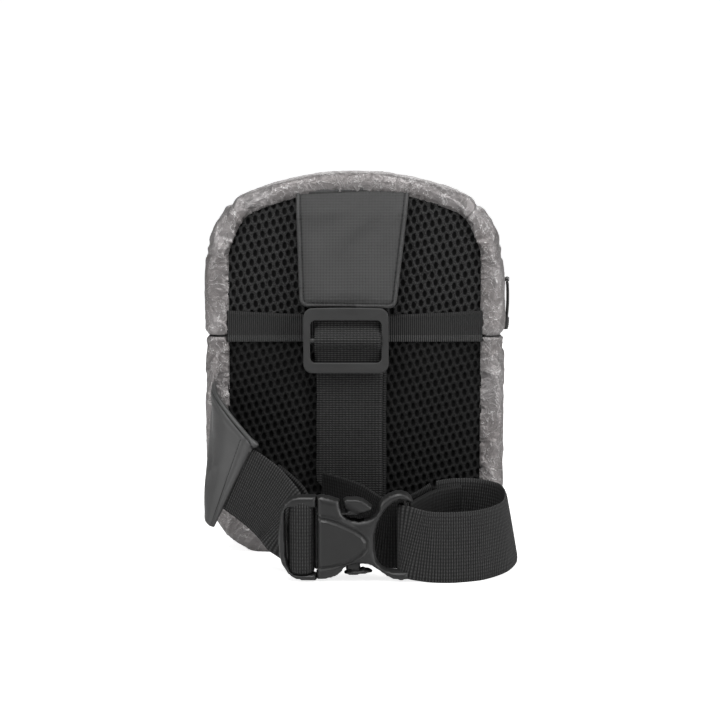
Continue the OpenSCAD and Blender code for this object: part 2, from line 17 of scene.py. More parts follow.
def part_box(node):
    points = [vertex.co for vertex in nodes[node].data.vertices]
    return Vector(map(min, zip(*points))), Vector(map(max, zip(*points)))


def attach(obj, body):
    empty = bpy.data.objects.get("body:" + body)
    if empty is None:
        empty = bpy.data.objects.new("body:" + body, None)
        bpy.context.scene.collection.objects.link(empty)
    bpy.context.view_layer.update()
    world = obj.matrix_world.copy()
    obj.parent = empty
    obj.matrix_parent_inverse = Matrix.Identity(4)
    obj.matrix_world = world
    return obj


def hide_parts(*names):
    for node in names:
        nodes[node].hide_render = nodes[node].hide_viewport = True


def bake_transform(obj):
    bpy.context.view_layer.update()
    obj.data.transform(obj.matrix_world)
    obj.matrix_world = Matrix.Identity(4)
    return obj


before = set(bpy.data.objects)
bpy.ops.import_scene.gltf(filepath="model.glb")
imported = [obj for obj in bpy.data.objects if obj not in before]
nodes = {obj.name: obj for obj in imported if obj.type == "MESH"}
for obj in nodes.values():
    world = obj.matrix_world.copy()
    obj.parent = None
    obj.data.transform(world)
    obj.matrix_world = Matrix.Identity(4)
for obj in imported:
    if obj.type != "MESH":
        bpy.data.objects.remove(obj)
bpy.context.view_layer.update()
MM = 0.001

# %% Read the bag's main sizes from the frame
BACK_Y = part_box("back_border")[0].y
HALF_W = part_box("gusset_lower")[1].x
SEAM_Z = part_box("gusset_lower")[1].z
BAG_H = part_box("gusset_upper_rear")[1].z
CORNER_TOP = 34 * MM
CORNER_BOTTOM = 36 * MM
ARCH_R = 174 * MM
print("half width", round(HALF_W, 4), "height", round(BAG_H, 4), "back at", round(BACK_Y, 4))

# %% [markdown]
# ## Camera, floor and light
# The bag stands upright and is seen straight on from behind, a little from above, with a
# long lens. The stage is a white sweep, so that the floor runs into the wall with no edge.
# Large soft lamps keep the shadows faint.

# %% Camera
CAMERA_X = 3 * MM
CAMERA_AWAY = 1.0
CAMERA_Z = 0.230
AIM_Z = 0.113
camera_data = bpy.data.cameras.new("camera")
camera_data.sensor_width = 36
camera_data.lens = 87.7
camera = bpy.data.objects.new("camera", camera_data)
bpy.context.scene.collection.objects.link(camera)
camera.location = (CAMERA_X, BACK_Y - CAMERA_AWAY, CAMERA_Z)
aim = Vector((CAMERA_X, BACK_Y, AIM_Z)) - camera.location
camera.rotation_euler = aim.to_track_quat("-Z", "Y").to_euler()
bpy.context.scene.camera = camera
print("camera looks down", round(math.degrees(math.atan2(-aim.z, aim.y)), 2), "degrees")

# %% Soft lamps
def softbox(name, place, target, size, power):
    lamp = bpy.data.lights.new(name, "AREA")
    lamp.shape = "RECTANGLE"
    lamp.size, lamp.size_y = size
    lamp.energy = power
    box = bpy.data.objects.new(name, lamp)
    box.location = place
    box.rotation_euler = (Vector(target) - Vector(place)).to_track_quat("-Z", "Y").to_euler()
    bpy.context.scene.collection.objects.link(box)
    print(name, "of", power, "watts")


middle = (0, 0, BAG_H / 2)
softbox("lamp_above", (-0.12, -0.5, 1.25), middle, (0.9, 0.7), 11)
softbox("lamp_left", (-1.1, -0.6, 0.5), middle, (0.5, 0.9), 5)
softbox("lamp_right", (1.1, -0.5, 0.5), middle, (0.5, 0.9), 8)
softbox("lamp_behind", (0.2, 1.1, 0.9), middle, (1.2, 0.8), 6)


def only_seen(tree, seen, elsewhere):
    """A strength that is one value where the lens sees it and another where it lights the bag."""
    path = tree.nodes.new("ShaderNodeLightPath")
    level = tree.nodes.new("ShaderNodeMapRange")
    level.inputs["To Min"].default_value = elsewhere
    level.inputs["To Max"].default_value = seen
    tree.links.new(path.outputs["Is Camera Ray"], level.inputs["Value"])
    return level.outputs[0]


world = bpy.data.worlds.new("studio")
world.use_nodes = True
ambient = world.node_tree.nodes["Background"]
ambient.inputs["Color"].default_value = (1, 1, 1, 1)
world.node_tree.links.new(only_seen(world.node_tree, 1.0, 0.16), ambient.inputs["Strength"])
bpy.context.scene.world = world
bpy.context.scene.view_settings.view_transform = "Standard"
bpy.context.scene.view_settings.look = "None"

# %% [markdown]
# ## Helpers for meshes
# Most pieces here are grids: rows of points that follow a path, joined by four-sided faces.
# A grid bends cleanly, takes wrinkles well and can be closed round itself to make a solid.

# %% Build a mesh from points and faces
def piece(name, points, faces, body=None, slot=None, finish=None, smooth=True):
    mesh = bpy.data.meshes.new(name)
    mesh.from_pydata(np.asarray(points, float).tolist(), [], [list(map(int, f)) for f in faces])
    mesh.update()
    if smooth:
        mesh.shade_smooth()
    obj = bpy.data.objects.new(name, mesh)
    bpy.context.scene.collection.objects.link(obj)
    if finish:
        mesh.materials.append(finish)
    if body:
        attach(obj, body)
    return obj


def grid_faces(rows, cols, wrap_rows=False, wrap_cols=False, flip=False):
    r = np.arange(rows if wrap_rows else rows - 1)
    c = np.arange(cols if wrap_cols else cols - 1)
    rr, cc = np.meshgrid(r, c, indexing="ij")
    r2, c2 = (rr + 1) % rows, (cc + 1) % cols
    quads = np.stack([rr * cols + cc, r2 * cols + cc, r2 * cols + c2, rr * cols + c2], -1).reshape(-1, 4)
    return quads[:, ::-1] if flip else quads


def slab_faces(rows, cols, flip=False):
    """Faces of two grids of the same size, back to back, and of the wall round their rim."""
    count = rows * cols
    near = grid_faces(rows, cols, flip=flip)
    rim = np.concatenate([np.arange(cols), np.arange(1, rows) * cols + cols - 1,
                          (rows - 1) * cols + np.arange(cols - 2, -1, -1),
                          np.arange(rows - 2, 0, -1) * cols])
    after = np.roll(rim, -1)
    wall = np.stack([rim, after, after + count, rim + count], 1)
    return np.vstack([near, near[:, ::-1] + count, wall])


def add_value(obj, name, values):
    layer = obj.data.attributes.new(name, "FLOAT", "POINT")
    layer.data.foreach_set("value", np.asarray(values, np.float32).ravel())


# %% Smooth routes, and soft noise for wrinkles
def lengths(points):
    """Distance walked along a line, at each of its points."""
    return np.concatenate([[0], np.cumsum(np.linalg.norm(np.diff(points, axis=0), axis=1))])


def route(points, step):
    """A smooth line through the points, and the distance along it, at even steps."""
    p = np.asarray(points, float)
    ends = np.vstack([2 * p[0] - p[1], p, 2 * p[-1] - p[-2]])
    fine = []
    for i in range(len(p) - 1):
        a, b, c, d = ends[i:i + 4]
        t = np.linspace(0, 1, 40, endpoint=False)[:, None]
        fine.append(0.5 * (2 * b + (c - a) * t + (2 * a - 5 * b + 4 * c - d) * t ** 2
                           + (3 * b - a - 3 * c + d) * t ** 3))
    fine = np.vstack(fine + [p[-1:]])
    walked = lengths(fine)
    count = max(2, int(round(walked[-1] / step)) + 1)
    at = np.linspace(0, walked[-1], count)
    return np.stack([np.interp(at, walked, fine[:, k]) for k in range(p.shape[1])], 1), at


def unit(v):
    return v / np.maximum(np.linalg.norm(v, axis=-1, keepdims=True), 1e-12)


def cloud(points, size, seed):
    """Smooth noise from -1 to 1 whose bumps are about `size` across."""
    q = np.asarray(points, float) / size + seed * 17.31
    cell = np.floor(q).astype(np.int64)
    f = q - cell
    f = f * f * (3 - 2 * f)
    total = np.zeros(len(q))
    for corner in np.ndindex(*(2,) * q.shape[1]):
        c = cell + np.array(corner)
        h = np.full(len(q), seed * 7919 + 13, np.int64)
        for k in range(q.shape[1]):
            h = (h ^ (c[:, k] * (73856093, 19349663, 83492791)[k])) * 1274126177 % 4294967296
        value = ((h ^ (h >> 15)) % 65536) / 32767.5 - 1
        weight = np.prod(np.where(np.array(corner), f, 1 - f), axis=1)
        total += value * weight
    return total


def crease(points, size, seed):
    """Thin sharp folds, from 0 on flat cloth to 1 on a fold."""
    return np.clip(1 - np.abs(cloud(points, size, seed)) * 5, 0, 1) ** 1.5


# %% [markdown]
# ## The bag's outline
# Two bottom corners, two top corners and a long arch between them. Every shell panel, the
# zip and the seams follow this one line, so it is worked out once, walked at even steps.

# %% Outline
def smoothstep(x, a, b):
    t = np.clip((x - a) / (b - a), 0, 1)
    return t * t * (3 - 2 * t)


def hump(x, width):
    """1 where x is 0, falling away smoothly over width."""
    return np.exp(-(x / width) ** 2)


def arc(cx, cz, r, a0, a1, count=60):
    a = np.radians(np.linspace(a0, a1, count))
    return np.stack([cx + r * np.cos(a), cz + r * np.sin(a)], 1)


corner_cx = HALF_W - CORNER_TOP
corner_cz = BAG_H - ARCH_R + math.sqrt((ARCH_R - CORNER_TOP) ** 2 - corner_cx ** 2)
lean = math.degrees(math.asin(corner_cx / (ARCH_R - CORNER_TOP)))


def soft_sides(x, z):
    """Cloth sides lean in a little above the zip's foot and below the seam."""
    low = 0.014 * (1 - smoothstep(z, 100 * MM, 136 * MM))
    high = 0.048 * smoothstep(z, 158 * MM, 200 * MM)
    return x * (1 - low - high)


half = np.vstack([[[0, 0]], arc(HALF_W - CORNER_BOTTOM, CORNER_BOTTOM, CORNER_BOTTOM, -90, 0),
                  arc(corner_cx, corner_cz, CORNER_TOP, 0, 90 - lean),
                  arc(0, BAG_H - ARCH_R, ARCH_R, 90 - lean, 90)])
half[:, 0] = soft_sides(half[:, 0], half[:, 1])
ring = np.vstack([half, (half * [-1, 1])[::-1][1:]])
ring_at = lengths(ring)
RING_LENGTH = ring_at[-1]
HALF_RING = RING_LENGTH / 2


def height_at(z):
    """How far along the outline its right side reaches the height z."""
    return float(np.interp(z, half[:, 1], ring_at[:len(half)]))


seam_at = height_at(SEAM_Z)


def on_ring(at):
    at = np.mod(at, RING_LENGTH)
    return np.stack([np.interp(at, ring_at, ring[:, k]) for k in (0, 1)], -1)


def ring_point(at):
    """Point and outward direction at a distance along the outline, from the base."""
    at = np.mod(at, RING_LENGTH)
    e = 0.4 * MM
    t = unit(on_ring(at + e) - on_ring(at - e))
    return on_ring(at), np.stack([t[..., 1], -t[..., 0]], -1)


def half_width(z, inset):
    """Half of the outline's width at height z, drawn in by inset."""
    p, n = ring_point(np.linspace(0, HALF_RING, 900))
    q = p - n * inset
    return np.interp(z, q[:, 1], q[:, 0], left=q[0, 0], right=0)


print("outline", round(RING_LENGTH, 4), "side seam at", round(seam_at, 4))

# %% [markdown]
# ## Helpers for finishes
# Each material is a small node tree. `Finish` keeps the trees short: it makes a node, links
# it and hands back its output. Even values sit on the shader's own sockets.

# %% Node tree helper
class Finish:
    def __init__(self, name, color, rough, **even):
        self.mat = bpy.data.materials.new(name)
        self.mat.use_nodes = True
        self.tree = self.mat.node_tree
        self.shader = self.tree.nodes["Principled BSDF"]
        self.shader.inputs["Base Color"].default_value = (*color, 1)
        self.shader.inputs["Roughness"].default_value = rough
        for socket, value in even.items():
            self.shader.inputs[socket.replace("_", " ")].default_value = value
        self.place = self.tree.nodes.new("ShaderNodeTexCoord").outputs["Object"]

    def node(self, kind, inputs=(), out=0, **settings):
        n = self.tree.nodes.new("ShaderNode" + kind)
        for key, value in settings.items():
            setattr(n, key, value)
        for socket, value in dict(inputs).items():
            if isinstance(value, bpy.types.NodeSocket):
                self.tree.links.new(value, n.inputs[socket])
            else:
                n.inputs[socket].default_value = value
        return n.outputs[out]

    def noise(self, scale, detail=2.0, rough=0.5, place=None):
        return self.node("TexNoise", {"Vector": place or self.place, "Scale": scale,
                                      "Detail": detail, "Roughness": rough})

    def noise_color(self, scale):
        return self.node("TexNoise", {"Vector": self.place, "Scale": scale, "Detail": 2.0}, out=1)

    def ridge(self, noise):
        """Thin bright lines, 1 along the middle of a noise and 0 away from it."""
        away = self.math("ABSOLUTE", self.math("SUBTRACT", noise, 0.5))
        return self.math("SUBTRACT", 1.0, self.math("MULTIPLY", away, 7.0))

    def value(self, name):
        return self.node("Attribute", out="Fac", attribute_name=name)

    def math(self, operation, a, b=0.0):
        return self.node("Math", {0: a, 1: b}, operation=operation)

    def span(self, value, low, high, to_low=0.0, to_high=1.0):
        return self.node("MapRange", {"Value": value, "From Min": low, "From Max": high,
                                      "To Min": to_low, "To Max": to_high})

    def tint(self, factor, dark, light):
        n = self.tree.nodes.new("ShaderNodeMix")
        n.data_type = "RGBA"
        self.tree.links.new(factor, n.inputs[0])
        for socket, value in ((n.inputs[6], dark), (n.inputs[7], light)):
            if isinstance(value, bpy.types.NodeSocket):
                self.tree.links.new(value, socket)
            else:
                socket.default_value = (*value, 1)
        return n.outputs[2]

    def bump(self, height, strength, distance, under=None):
        inputs = {"Height": height, "Strength": strength, "Distance": distance}
        if under:
            inputs["Normal"] = under
        return self.node("Bump", inputs, out="Normal")

    def wear(self, **outputs):
        for socket, value in outputs.items():
            self.tree.links.new(value, self.shader.inputs[socket.replace("_", " ")])
        return self.mat


# %% [markdown]
# ## Finishes
# The shell is a thin metallic nylon: hundreds of small creases turn the light every way,
# and its mottled colour carries painted glints along noise ridges and painted shade in its corner seams.
# Webbing and grosgrain read by their ribs, coated fabric by a fine weave under a soft shine, and moulded
# parts by a satin skin.

# %% Silver shell
def silver_shell():
    f = Finish("shell_silver", (0.27, 0.255, 0.255), 0.4, Metallic=0.6, Specular_IOR_Level=0.5)
    warp = f.node("VectorMath", {0: f.place, 1: f.node("VectorMath", {
        0: f.noise_color(60), "Scale": 0.02}, operation="SCALE")}, operation="ADD")
    patches = f.noise(34, 3, 0.6)
    lines = f.ridge(f.noise(170, 3, 0.55, warp))
    hair_glints = f.ridge(f.noise(420, 3, 0.6, warp))
    fine = f.noise(900, 3, 0.65)
    color = f.tint(f.span(patches, 0.35, 0.65), (0.2, 0.185, 0.182), (0.31, 0.295, 0.295))
    # Light lines along the noise ridges, coarse here and fine below, are painted glints: painted
    # highlights that stand in for light caught on creases.
    color = f.tint(f.span(lines, 0.93, 1.0, 0, 0.8), color, (0.85, 0.84, 0.84))
    color = f.tint(f.span(hair_glints, 0.9, 1.0, 0, 0.3), color, (0.6, 0.58, 0.58))
    # Near black along the corner seams: painted shade in the seam groove.
    color = f.tint(f.value("seam_painted_shade"), color, (0.02, 0.02, 0.02))
    rough = f.span(fine, 0.3, 0.7, 0.3, 0.5)
    normal = f.bump(lines, 0.5, 0.0005)
    normal = f.bump(hair_glints, 0.45, 0.0003, normal)
    normal = f.bump(fine, 0.35, 0.0002, normal)
    return f.wear(Base_Color=color, Roughness=rough, Normal=normal)


# %% Mesh, webbing and grosgrain
def spacer_mesh(name, light):
    """Soft threads round pits painted near black: painted shade in the holes."""
    f = Finish(name, (light, light, light), 0.8, Specular_IOR_Level=0.2)
    pit = f.span(f.value("pit"), 0.15, 0.75)
    strands = f.noise(1500, 2, 0.6)
    thread = f.tint(f.span(strands, 0.35, 0.65), (light * 0.45,) * 3, (light * 1.9,) * 3)
    # The pits are painted near black: painted shade in the holes.
    color = f.tint(pit, thread, (0.0008, 0.0008, 0.0008))
    normal = f.bump(strands, 0.8, 0.0003)
    return f.wear(Base_Color=color, Normal=normal)


def woven(name, light, rib, columns):
    """Small yarn dashes: ribs across every `rib` millimetres, in columns along the strap."""
    f = Finish(name, (light, light, light), 0.6, Specular_IOR_Level=0.25)
    along = f.math("MULTIPLY", f.value("along"), 2 * math.pi / rib)
    across = f.math("MULTIPLY", f.value("across"), 2 * math.pi / columns)
    ribs = f.span(f.math("SINE", along), -1, 1)
    yarn = f.span(f.math("SINE", across), -0.8, 0.8)
    dashes = f.math("MULTIPLY", ribs, f.span(yarn, 0, 1, 0.5, 1.0))
    fuzz = f.noise(1300, 3, 0.7)
    mixed = f.math("ADD", f.math("MULTIPLY", dashes, 0.85), f.span(fuzz, 0.3, 0.7, -0.12, 0.18))
    color = f.tint(mixed, (light * 0.12,) * 3, (light * 2.9,) * 3)
    normal = f.bump(dashes, 0.8, 0.0003)
    normal = f.bump(fuzz, 0.3, 0.0002, normal)
    return f.wear(Base_Color=color, Normal=normal)


# %% Coated fabrics, moulded parts and the rest
def coated(name, light, weave_size, weave_depth, rough, seam=0):
    """Smooth polyurethane skin over a fine diamond weave."""
    f = Finish(name, (light, light, light), rough)
    sideways = f.node("SeparateXYZ", {"Vector": f.place}, out="X")
    up = f.node("SeparateXYZ", {"Vector": f.place}, out="Z")
    k = 2 * math.pi / (weave_size * MM)
    one = f.math("SINE", f.math("MULTIPLY", f.math("ADD", sideways, up), k))
    two = f.math("SINE", f.math("MULTIPLY", f.math("SUBTRACT", sideways, up), k))
    diamonds = f.math("MULTIPLY", one, two)
    grain = f.noise(900, 3, 0.6)
    broad = f.noise(30, 2, 0.5)
    color = f.tint(f.span(broad, 0.3, 0.7), (light * 0.86,) * 3, (light * 1.12,) * 3)
    color = f.tint(f.span(diamonds, -1, 1, 0, weave_depth * 0.55), color, (light * 2.6,) * 3)
    if seam:
        # Near black along the stitch line is painted shade in the stitched groove, and the lighter band
        # along the outer rim is a painted highlight.
        away = f.math("ABSOLUTE", f.math("SUBTRACT", f.value("edge_d"), seam))
        color = f.tint(f.span(away, 0.2, 0.75, 0.75, 0), color, (0.004, 0.004, 0.004))
        color = f.tint(f.span(f.value("edge_d"), 1.5, 2.0, 0.3, 0), color, (light * 3,) * 3)
    roughness = f.span(grain, 0.3, 0.7, rough - 0.07, rough + 0.08)
    normal = f.bump(diamonds, weave_depth, 0.00018)
    normal = f.bump(grain, 0.18, 0.0002, normal)
    return f.wear(Base_Color=color, Roughness=roughness, Normal=normal)


def moulded(name, light, rough):
    f = Finish(name, (light, light, light * 1.01), rough, Specular_IOR_Level=0.5)
    skin = f.noise(2200, 2, 0.5)
    handled = f.noise(60, 3, 0.6)
    roughness = f.span(handled, 0.3, 0.7, rough - 0.06, rough + 0.08)
    color = f.tint(f.span(handled, 0.35, 0.7), (light * 0.9,) * 3, (light * 1.12,) * 3)
    return f.wear(Base_Color=color, Roughness=roughness, Normal=f.bump(skin, 0.12, 0.0001))


def plain_cloth(name, color, weave=1400):
    f = Finish(name, color, 0.75, Specular_IOR_Level=0.25)
    threads = f.noise(weave, 3, 0.6)
    dark = tuple(0.85 * c for c in color)
    light = tuple(1.15 * c for c in color)
    shade = f.tint(f.span(f.noise(50, 2), 0.3, 0.7), dark, light)
    return f.wear(Base_Color=shade, Normal=f.bump(threads, 0.3, 0.0002))


WEB_RIB, BAND_RIB, TAB_SEAM = 1.35, 1.15, 2.6
SHELL = silver_shell()
# The lower mesh panel's finish is a darker copy of the upper one's: painted shade.
MESH_UPPER = spacer_mesh("mesh_upper", 0.023)
MESH_LOWER_SHADED = spacer_mesh("mesh_lower", 0.0095)
WEBBING = woven("webbing_black", 0.023, WEB_RIB, 1.9)
# A darker copy of the webbing for runs that lie behind or under other layers: painted shade.
WEBBING_SHADED = woven("webbing_shaded", 0.012, WEB_RIB, 1.9)
GROSGRAIN = woven("grosgrain", 0.016, BAND_RIB, 40)
BINDING = woven("band_binding", 0.026, BAND_RIB, 40)
TAB = coated("tab_coated", 0.036, 1.7, 0.9, 0.46, seam=TAB_SEAM)
WING = coated("wing_coated", 0.058, 0.9, 0.12, 0.42)
PLASTIC = moulded("plastic_black", 0.022, 0.42)
GLIDE = moulded("plastic_glide", 0.035, 0.45)
ZIP_TAPE = plain_cloth("zip_tape", (0.014, 0.014, 0.014))
ZIP_TEETH = moulded("zip_teeth", 0.015, 0.4)
LACQUER = moulded("slider_lacquer", 0.02, 0.3)
PULL = moulded("puller_black", 0.012, 0.5)
LINING = plain_cloth("lining_grey", (0.045, 0.05, 0.055))
FOAM = plain_cloth("foam_grey", (0.05, 0.05, 0.05), 600)
THREAD = plain_cloth("thread_black", (0.01, 0.01, 0.01), 3000)
print("finishes", len(bpy.data.materials))

# %% Floor
FLOOR_END, SWEEP_R, STAGE_REACH = 1.6, 1.2, 4.0


def floor_sweep():
    f = Finish("stage_white", (0.75, 0.75, 0.75), 0.9, Specular_IOR_Level=0.1)
    f.shader.inputs["Emission Color"].default_value = (1, 1, 1, 1)
    f.tree.links.new(only_seen(f.tree, 0.8, 0.0), f.shader.inputs["Emission Strength"])
    turn = np.linspace(0, math.pi / 2, 16)[1:]
    line = [(-STAGE_REACH, 0.0), (FLOOR_END, 0.0)]
    line += [(FLOOR_END + SWEEP_R * math.sin(a), SWEEP_R - SWEEP_R * math.cos(a)) for a in turn]
    line += [(FLOOR_END + SWEEP_R, STAGE_REACH)]
    points = [(x, y, z) for y, z in line for x in (-STAGE_REACH, STAGE_REACH)]
    stage = piece("floor_sweep", points, grid_faces(len(line), 2), finish=f.mat)
    print("floor runs", FLOOR_END, "m back and turns up with radius", SWEEP_R, "m")


floor_sweep()

# %% [markdown]
# ## More helpers: cut panels, pads and swept shapes
# A panel is cut like cloth: its edge is walked at even steps, its inside is filled with an
# even lattice, and the two are joined by triangles of one size. Even triangles matter, since
# the shell is swelled by a cloth simulation, which wrinkles badly where they are long and thin.

# %% Cut a flat panel inside an edge
def walk_closed(edge, step):
    loop = np.vstack([edge, edge[:1]])
    at = lengths(loop)
    where = np.linspace(0, at[-1], max(8, int(at[-1] / step)), endpoint=False)
    return np.stack([np.interp(where, at, loop[:, k]) for k in (0, 1)], 1)


def edge_distance(points, edge):
    """Distance from each point to the edge, and where along the edge the nearest spot is."""
    dense = walk_closed(edge, 0.4 * MM)
    tree = KDTree(len(dense))
    for i, p in enumerate(dense):
        tree.insert((p[0], p[1], 0), i)
    tree.balance()
    found = [tree.find((p[0], p[1], 0)) for p in points]
    return np.array([f[2] for f in found]), np.array([f[1] for f in found]) * 0.4 * MM


def inside(points, edge):
    x, z = points[:, 0], points[:, 1]
    result = np.zeros(len(points), bool)
    for (x0, z0), (x1, z1) in zip(edge, np.roll(edge, -1, 0)):
        if z0 != z1:
            result ^= ((z0 > z) != (z1 > z)) & (x < (x1 - x0) * (z - z0) / (z1 - z0) + x0)
    return result


def cut(edge, step):
    rim = walk_closed(edge, step)
    low, high = rim.min(0), rim.max(0)
    xs = np.arange(low[0], high[0], step)
    zs = np.arange(low[1], high[1], step * 0.866)
    x, z = np.meshgrid(xs, zs)
    x[1::2] += step / 2
    lattice = np.stack([x.ravel(), z.ravel()], 1)
    lattice = lattice[inside(lattice, rim)]
    distance, _ = edge_distance(lattice, rim)
    lattice = lattice[distance > 0.62 * step]
    points = np.vstack([rim, lattice])
    count = len(rim)
    rim_edges = [(i, (i + 1) % count) for i in range(count)]
    made = delaunay_2d_cdt([Vector(p) for p in points], rim_edges, [], 1, 1e-7)
    flat = np.array([tuple(p) for p in made[0]])
    distance, along = edge_distance(flat, rim)
    distance[distance < 0.3 * MM] = 0
    return flat, np.array(made[2]), distance, along


def narrowed(p):
    """The border is narrower along the arch than down the sides."""
    return 1 - 0.22 * smoothstep(p[:, 1:], 186 * MM, 208 * MM)


def region(inset, low=None, high=None):
    """The bag's outline drawn in by inset, cut off below low or above high."""
    start = HALF_RING if high is not None else 0
    p, n = ring_point(start + np.linspace(0, RING_LENGTH, 1400, endpoint=False))
    q = p - n * inset * narrowed(p)
    if low is not None:
        q = q[q[:, 1] > low]
        q[[0, -1], 1] = low
    if high is not None:
        q = q[q[:, 1] < high]
        q[[0, -1], 1] = high
    return q


def back(y):
    """Depth in the frame of a distance in millimetres behind the back panel's face."""
    return BACK_Y + np.asarray(y, float) * MM


# %% Pads and sweeps
def pad(name, edge, step, front, rear, **rest):
    """A closed pad: front and rear give depths, in mm, from x, z and distance to the edge."""
    flat, tris, d, along = cut(edge, step)
    x, z = flat.T
    rim = d == 0
    facing = np.stack([x, back(front(x, z, d)), z], 1)
    hidden = np.stack([x, back(rear(x, z, d)), z], 1)
    number = np.where(rim, np.arange(len(x)), len(x) + np.cumsum(~rim) - 1)
    points = np.vstack([facing, hidden[~rim]])
    a, b, c = facing[tris[0]]
    turn = np.cross(b - a, c - a)[1] > 0
    forward = tris[:, ::-1] if turn else tris
    obj = piece(name, points, np.vstack([forward, number[forward[:, ::-1]]]), **rest)
    add_value(obj, "edge_d", np.concatenate([d, d[~rim]]) / MM)
    return obj


def sheet_cut(name, edge, step, depth, outward, **rest):
    """A single-layer panel with its face looking towards outward (1 is +Y, -1 is -Y)."""
    flat, tris, d, along = cut(edge, step)
    x, z = flat.T
    points = np.stack([x, back(depth(x, z, d)), z], 1)
    a, b, c = points[tris[0]]
    if (np.cross(b - a, c - a)[1] > 0) != (outward > 0):
        tris = tris[:, ::-1]
    obj = piece(name, points, tris, **rest)
    add_value(obj, "edge_d", d / MM)
    add_value(obj, "edge_at", along / MM)
    return obj


def outline_sweep(s0, s1, profile, step):
    """Points of a strip whose section is profile, (inset, depth) in mm, run along the outline."""
    count = max(3, int((s1 - s0) / step))
    s = np.linspace(s0, s1, count)
    p, n = ring_point(s)
    flat = p[:, None, :] - (n * narrowed(p))[:, None, :] * profile[None, :, :1] * MM
    depth = np.broadcast_to(back(profile[:, 1]), flat.shape[:2])
    points = np.stack([flat[..., 0], depth, flat[..., 1]], -1)
    return points.reshape(-1, 3), count, s


def closed_strip(name, s0, s1, profile, step, **rest):
    """A closed strip run along the outline, with capped ends."""
    profile = np.asarray(profile, float)
    points, rows, s = outline_sweep(s0, s1, profile, step)
    cols = len(profile)
    faces = grid_faces(rows, cols, wrap_cols=True).tolist()
    faces += [list(range(cols))[::-1], list(range((rows - 1) * cols, rows * cols))]
    obj = piece(name, points, faces, **rest)
    tidy_normals(obj)
    return obj


def tidy_normals(obj, weld=0):
    """Weld points that are nearer than weld, and turn every face outwards."""
    bm = bmesh.new()
    bm.from_mesh(obj.data)
    if weld:
        bmesh.ops.remove_doubles(bm, verts=bm.verts, dist=weld)
    bmesh.ops.recalc_face_normals(bm, faces=bm.faces)
    bm.to_mesh(obj.data)
    bm.free()


def baked(obj):
    """Apply every modifier on obj."""
    graph = bpy.context.evaluated_depsgraph_get()
    fresh = bpy.data.meshes.new_from_object(obj.evaluated_get(graph), depsgraph=graph)
    obj.modifiers.clear()
    obj.data = fresh
    return obj


def coords(obj):
    co = np.zeros(len(obj.data.vertices) * 3)
    obj.data.vertices.foreach_get("co", co)
    return co.reshape(-1, 3)


def set_coords(obj, co):
    obj.data.vertices.foreach_set("co", np.asarray(co, float).ravel())
    obj.data.update()


def normals(obj):
    out = np.zeros(len(obj.data.vertices) * 3)
    obj.data.vertex_normals.foreach_get("vector", out)
    return out.reshape(-1, 3)


def read_value(obj, name):
    out = np.zeros(len(obj.data.vertices), np.float32)
    obj.data.attributes[name].data.foreach_get("value", out)
    return out.astype(float)


# %% Swell a panel like stuffed cloth, then crinkle it
SWELL_PRESSURE, SWELL_FRAMES = 3.0, 20


def swell(obj, pinned, spare, cap):
    """Blow up obj between its pinned points, by cap mm at most.

    spare is how much too big the cloth is for the gap that it spans.
    """
    start = coords(obj)
    group = obj.vertex_groups.new(name="seam")
    group.add([int(i) for i in np.flatnonzero(pinned)], 1.0, "REPLACE")
    cloth = obj.modifiers.new("cloth", "CLOTH")
    setting = cloth.settings
    setting.quality = 6
    setting.mass = 0.2
    setting.tension_stiffness = setting.compression_stiffness = 12
    setting.shear_stiffness = 4
    setting.bending_stiffness = 0.02
    setting.use_pressure = True
    setting.uniform_pressure_force = SWELL_PRESSURE
    setting.shrink_min = -spare
    setting.vertex_group_mass = "seam"
    setting.effector_weights.gravity = 0
    cloth.collision_settings.use_collision = False
    cloth.point_cache.frame_start = 1
    cloth.point_cache.frame_end = SWELL_FRAMES
    for frame_number in range(1, SWELL_FRAMES + 1):
        bpy.context.scene.frame_set(frame_number)
    baked(obj)
    bpy.context.scene.frame_set(1)
    moved = coords(obj) - start
    far = np.linalg.norm(moved, axis=1)
    moved *= np.minimum(1, cap * MM / np.maximum(far, 1e-9))[:, None]
    set_coords(obj, start + moved)
    obj.vertex_groups.clear()
    print(obj.name, "swelled by", round(float(np.minimum(far, cap * MM).max()) / MM, 1), "mm")


def subdivided(obj):
    finer = obj.modifiers.new("subdivision", "SUBSURF")
    finer.levels = finer.render_levels = 2
    baked(obj)


def crinkle(obj, distance, at, seed):
    """Creases of thin stiff nylon: sharp folds everywhere, and puckers that cross the seams."""
    co = coords(obj)
    bend = np.stack([cloud(co, 0.02, seed + k) for k in range(3)], 1) * 0.005
    q = co + bend
    slanted = q @ np.array([[1, 0, 0.5], [0, 1, 0], [-0.5, 0, 1]]) * [1, 1, 0.5]
    folds = crease(slanted, 0.015, seed + 11) * 0.42 + crease(q, 0.0075, seed + 12) * 0.22
    folds += crease(q + 0.5, 0.0036, seed + 17) * 0.09
    soft = cloud(q, 0.014, seed + 13) * 0.25 + cloud(q, 0.0042, seed + 14) * 0.13
    near = np.exp(-distance / 3.0)
    line = np.stack([at * MM, distance * MM * 0.16], 1)
    puckers = cloud(line, 0.0026, seed + 15) * 0.85 + cloud(line, 0.0015, seed + 16) * 0.5
    puckers += 0.4 * cloud(line * [1, 0.5], 0.0075, seed + 18) * np.exp(-distance / 7) / near
    height = (folds + soft) * (0.35 + 0.65 * smoothstep(distance, 0, 4)) + puckers * near
    set_coords(obj, co + normals(obj) * (height * MM * smoothstep(distance, 0, 0.8))[:, None])


def thicken(obj, thickness):
    solid = obj.modifiers.new("thickness", "SOLIDIFY")
    solid.thickness = thickness * MM
    solid.offset = -1
    baked(obj)


# %% [markdown]
# ## Silver shell
# The shell is thin crinkled nylon over soft padding. One long panel starts at the mesh's seam,
# rolls over the back edge and runs on as the gusset: a lower one reaches the front panel, and
# an upper one stops at the zip. Each is swept along the outline as a slack strip, blown up
# between its seams by the cloth simulation, then creased.

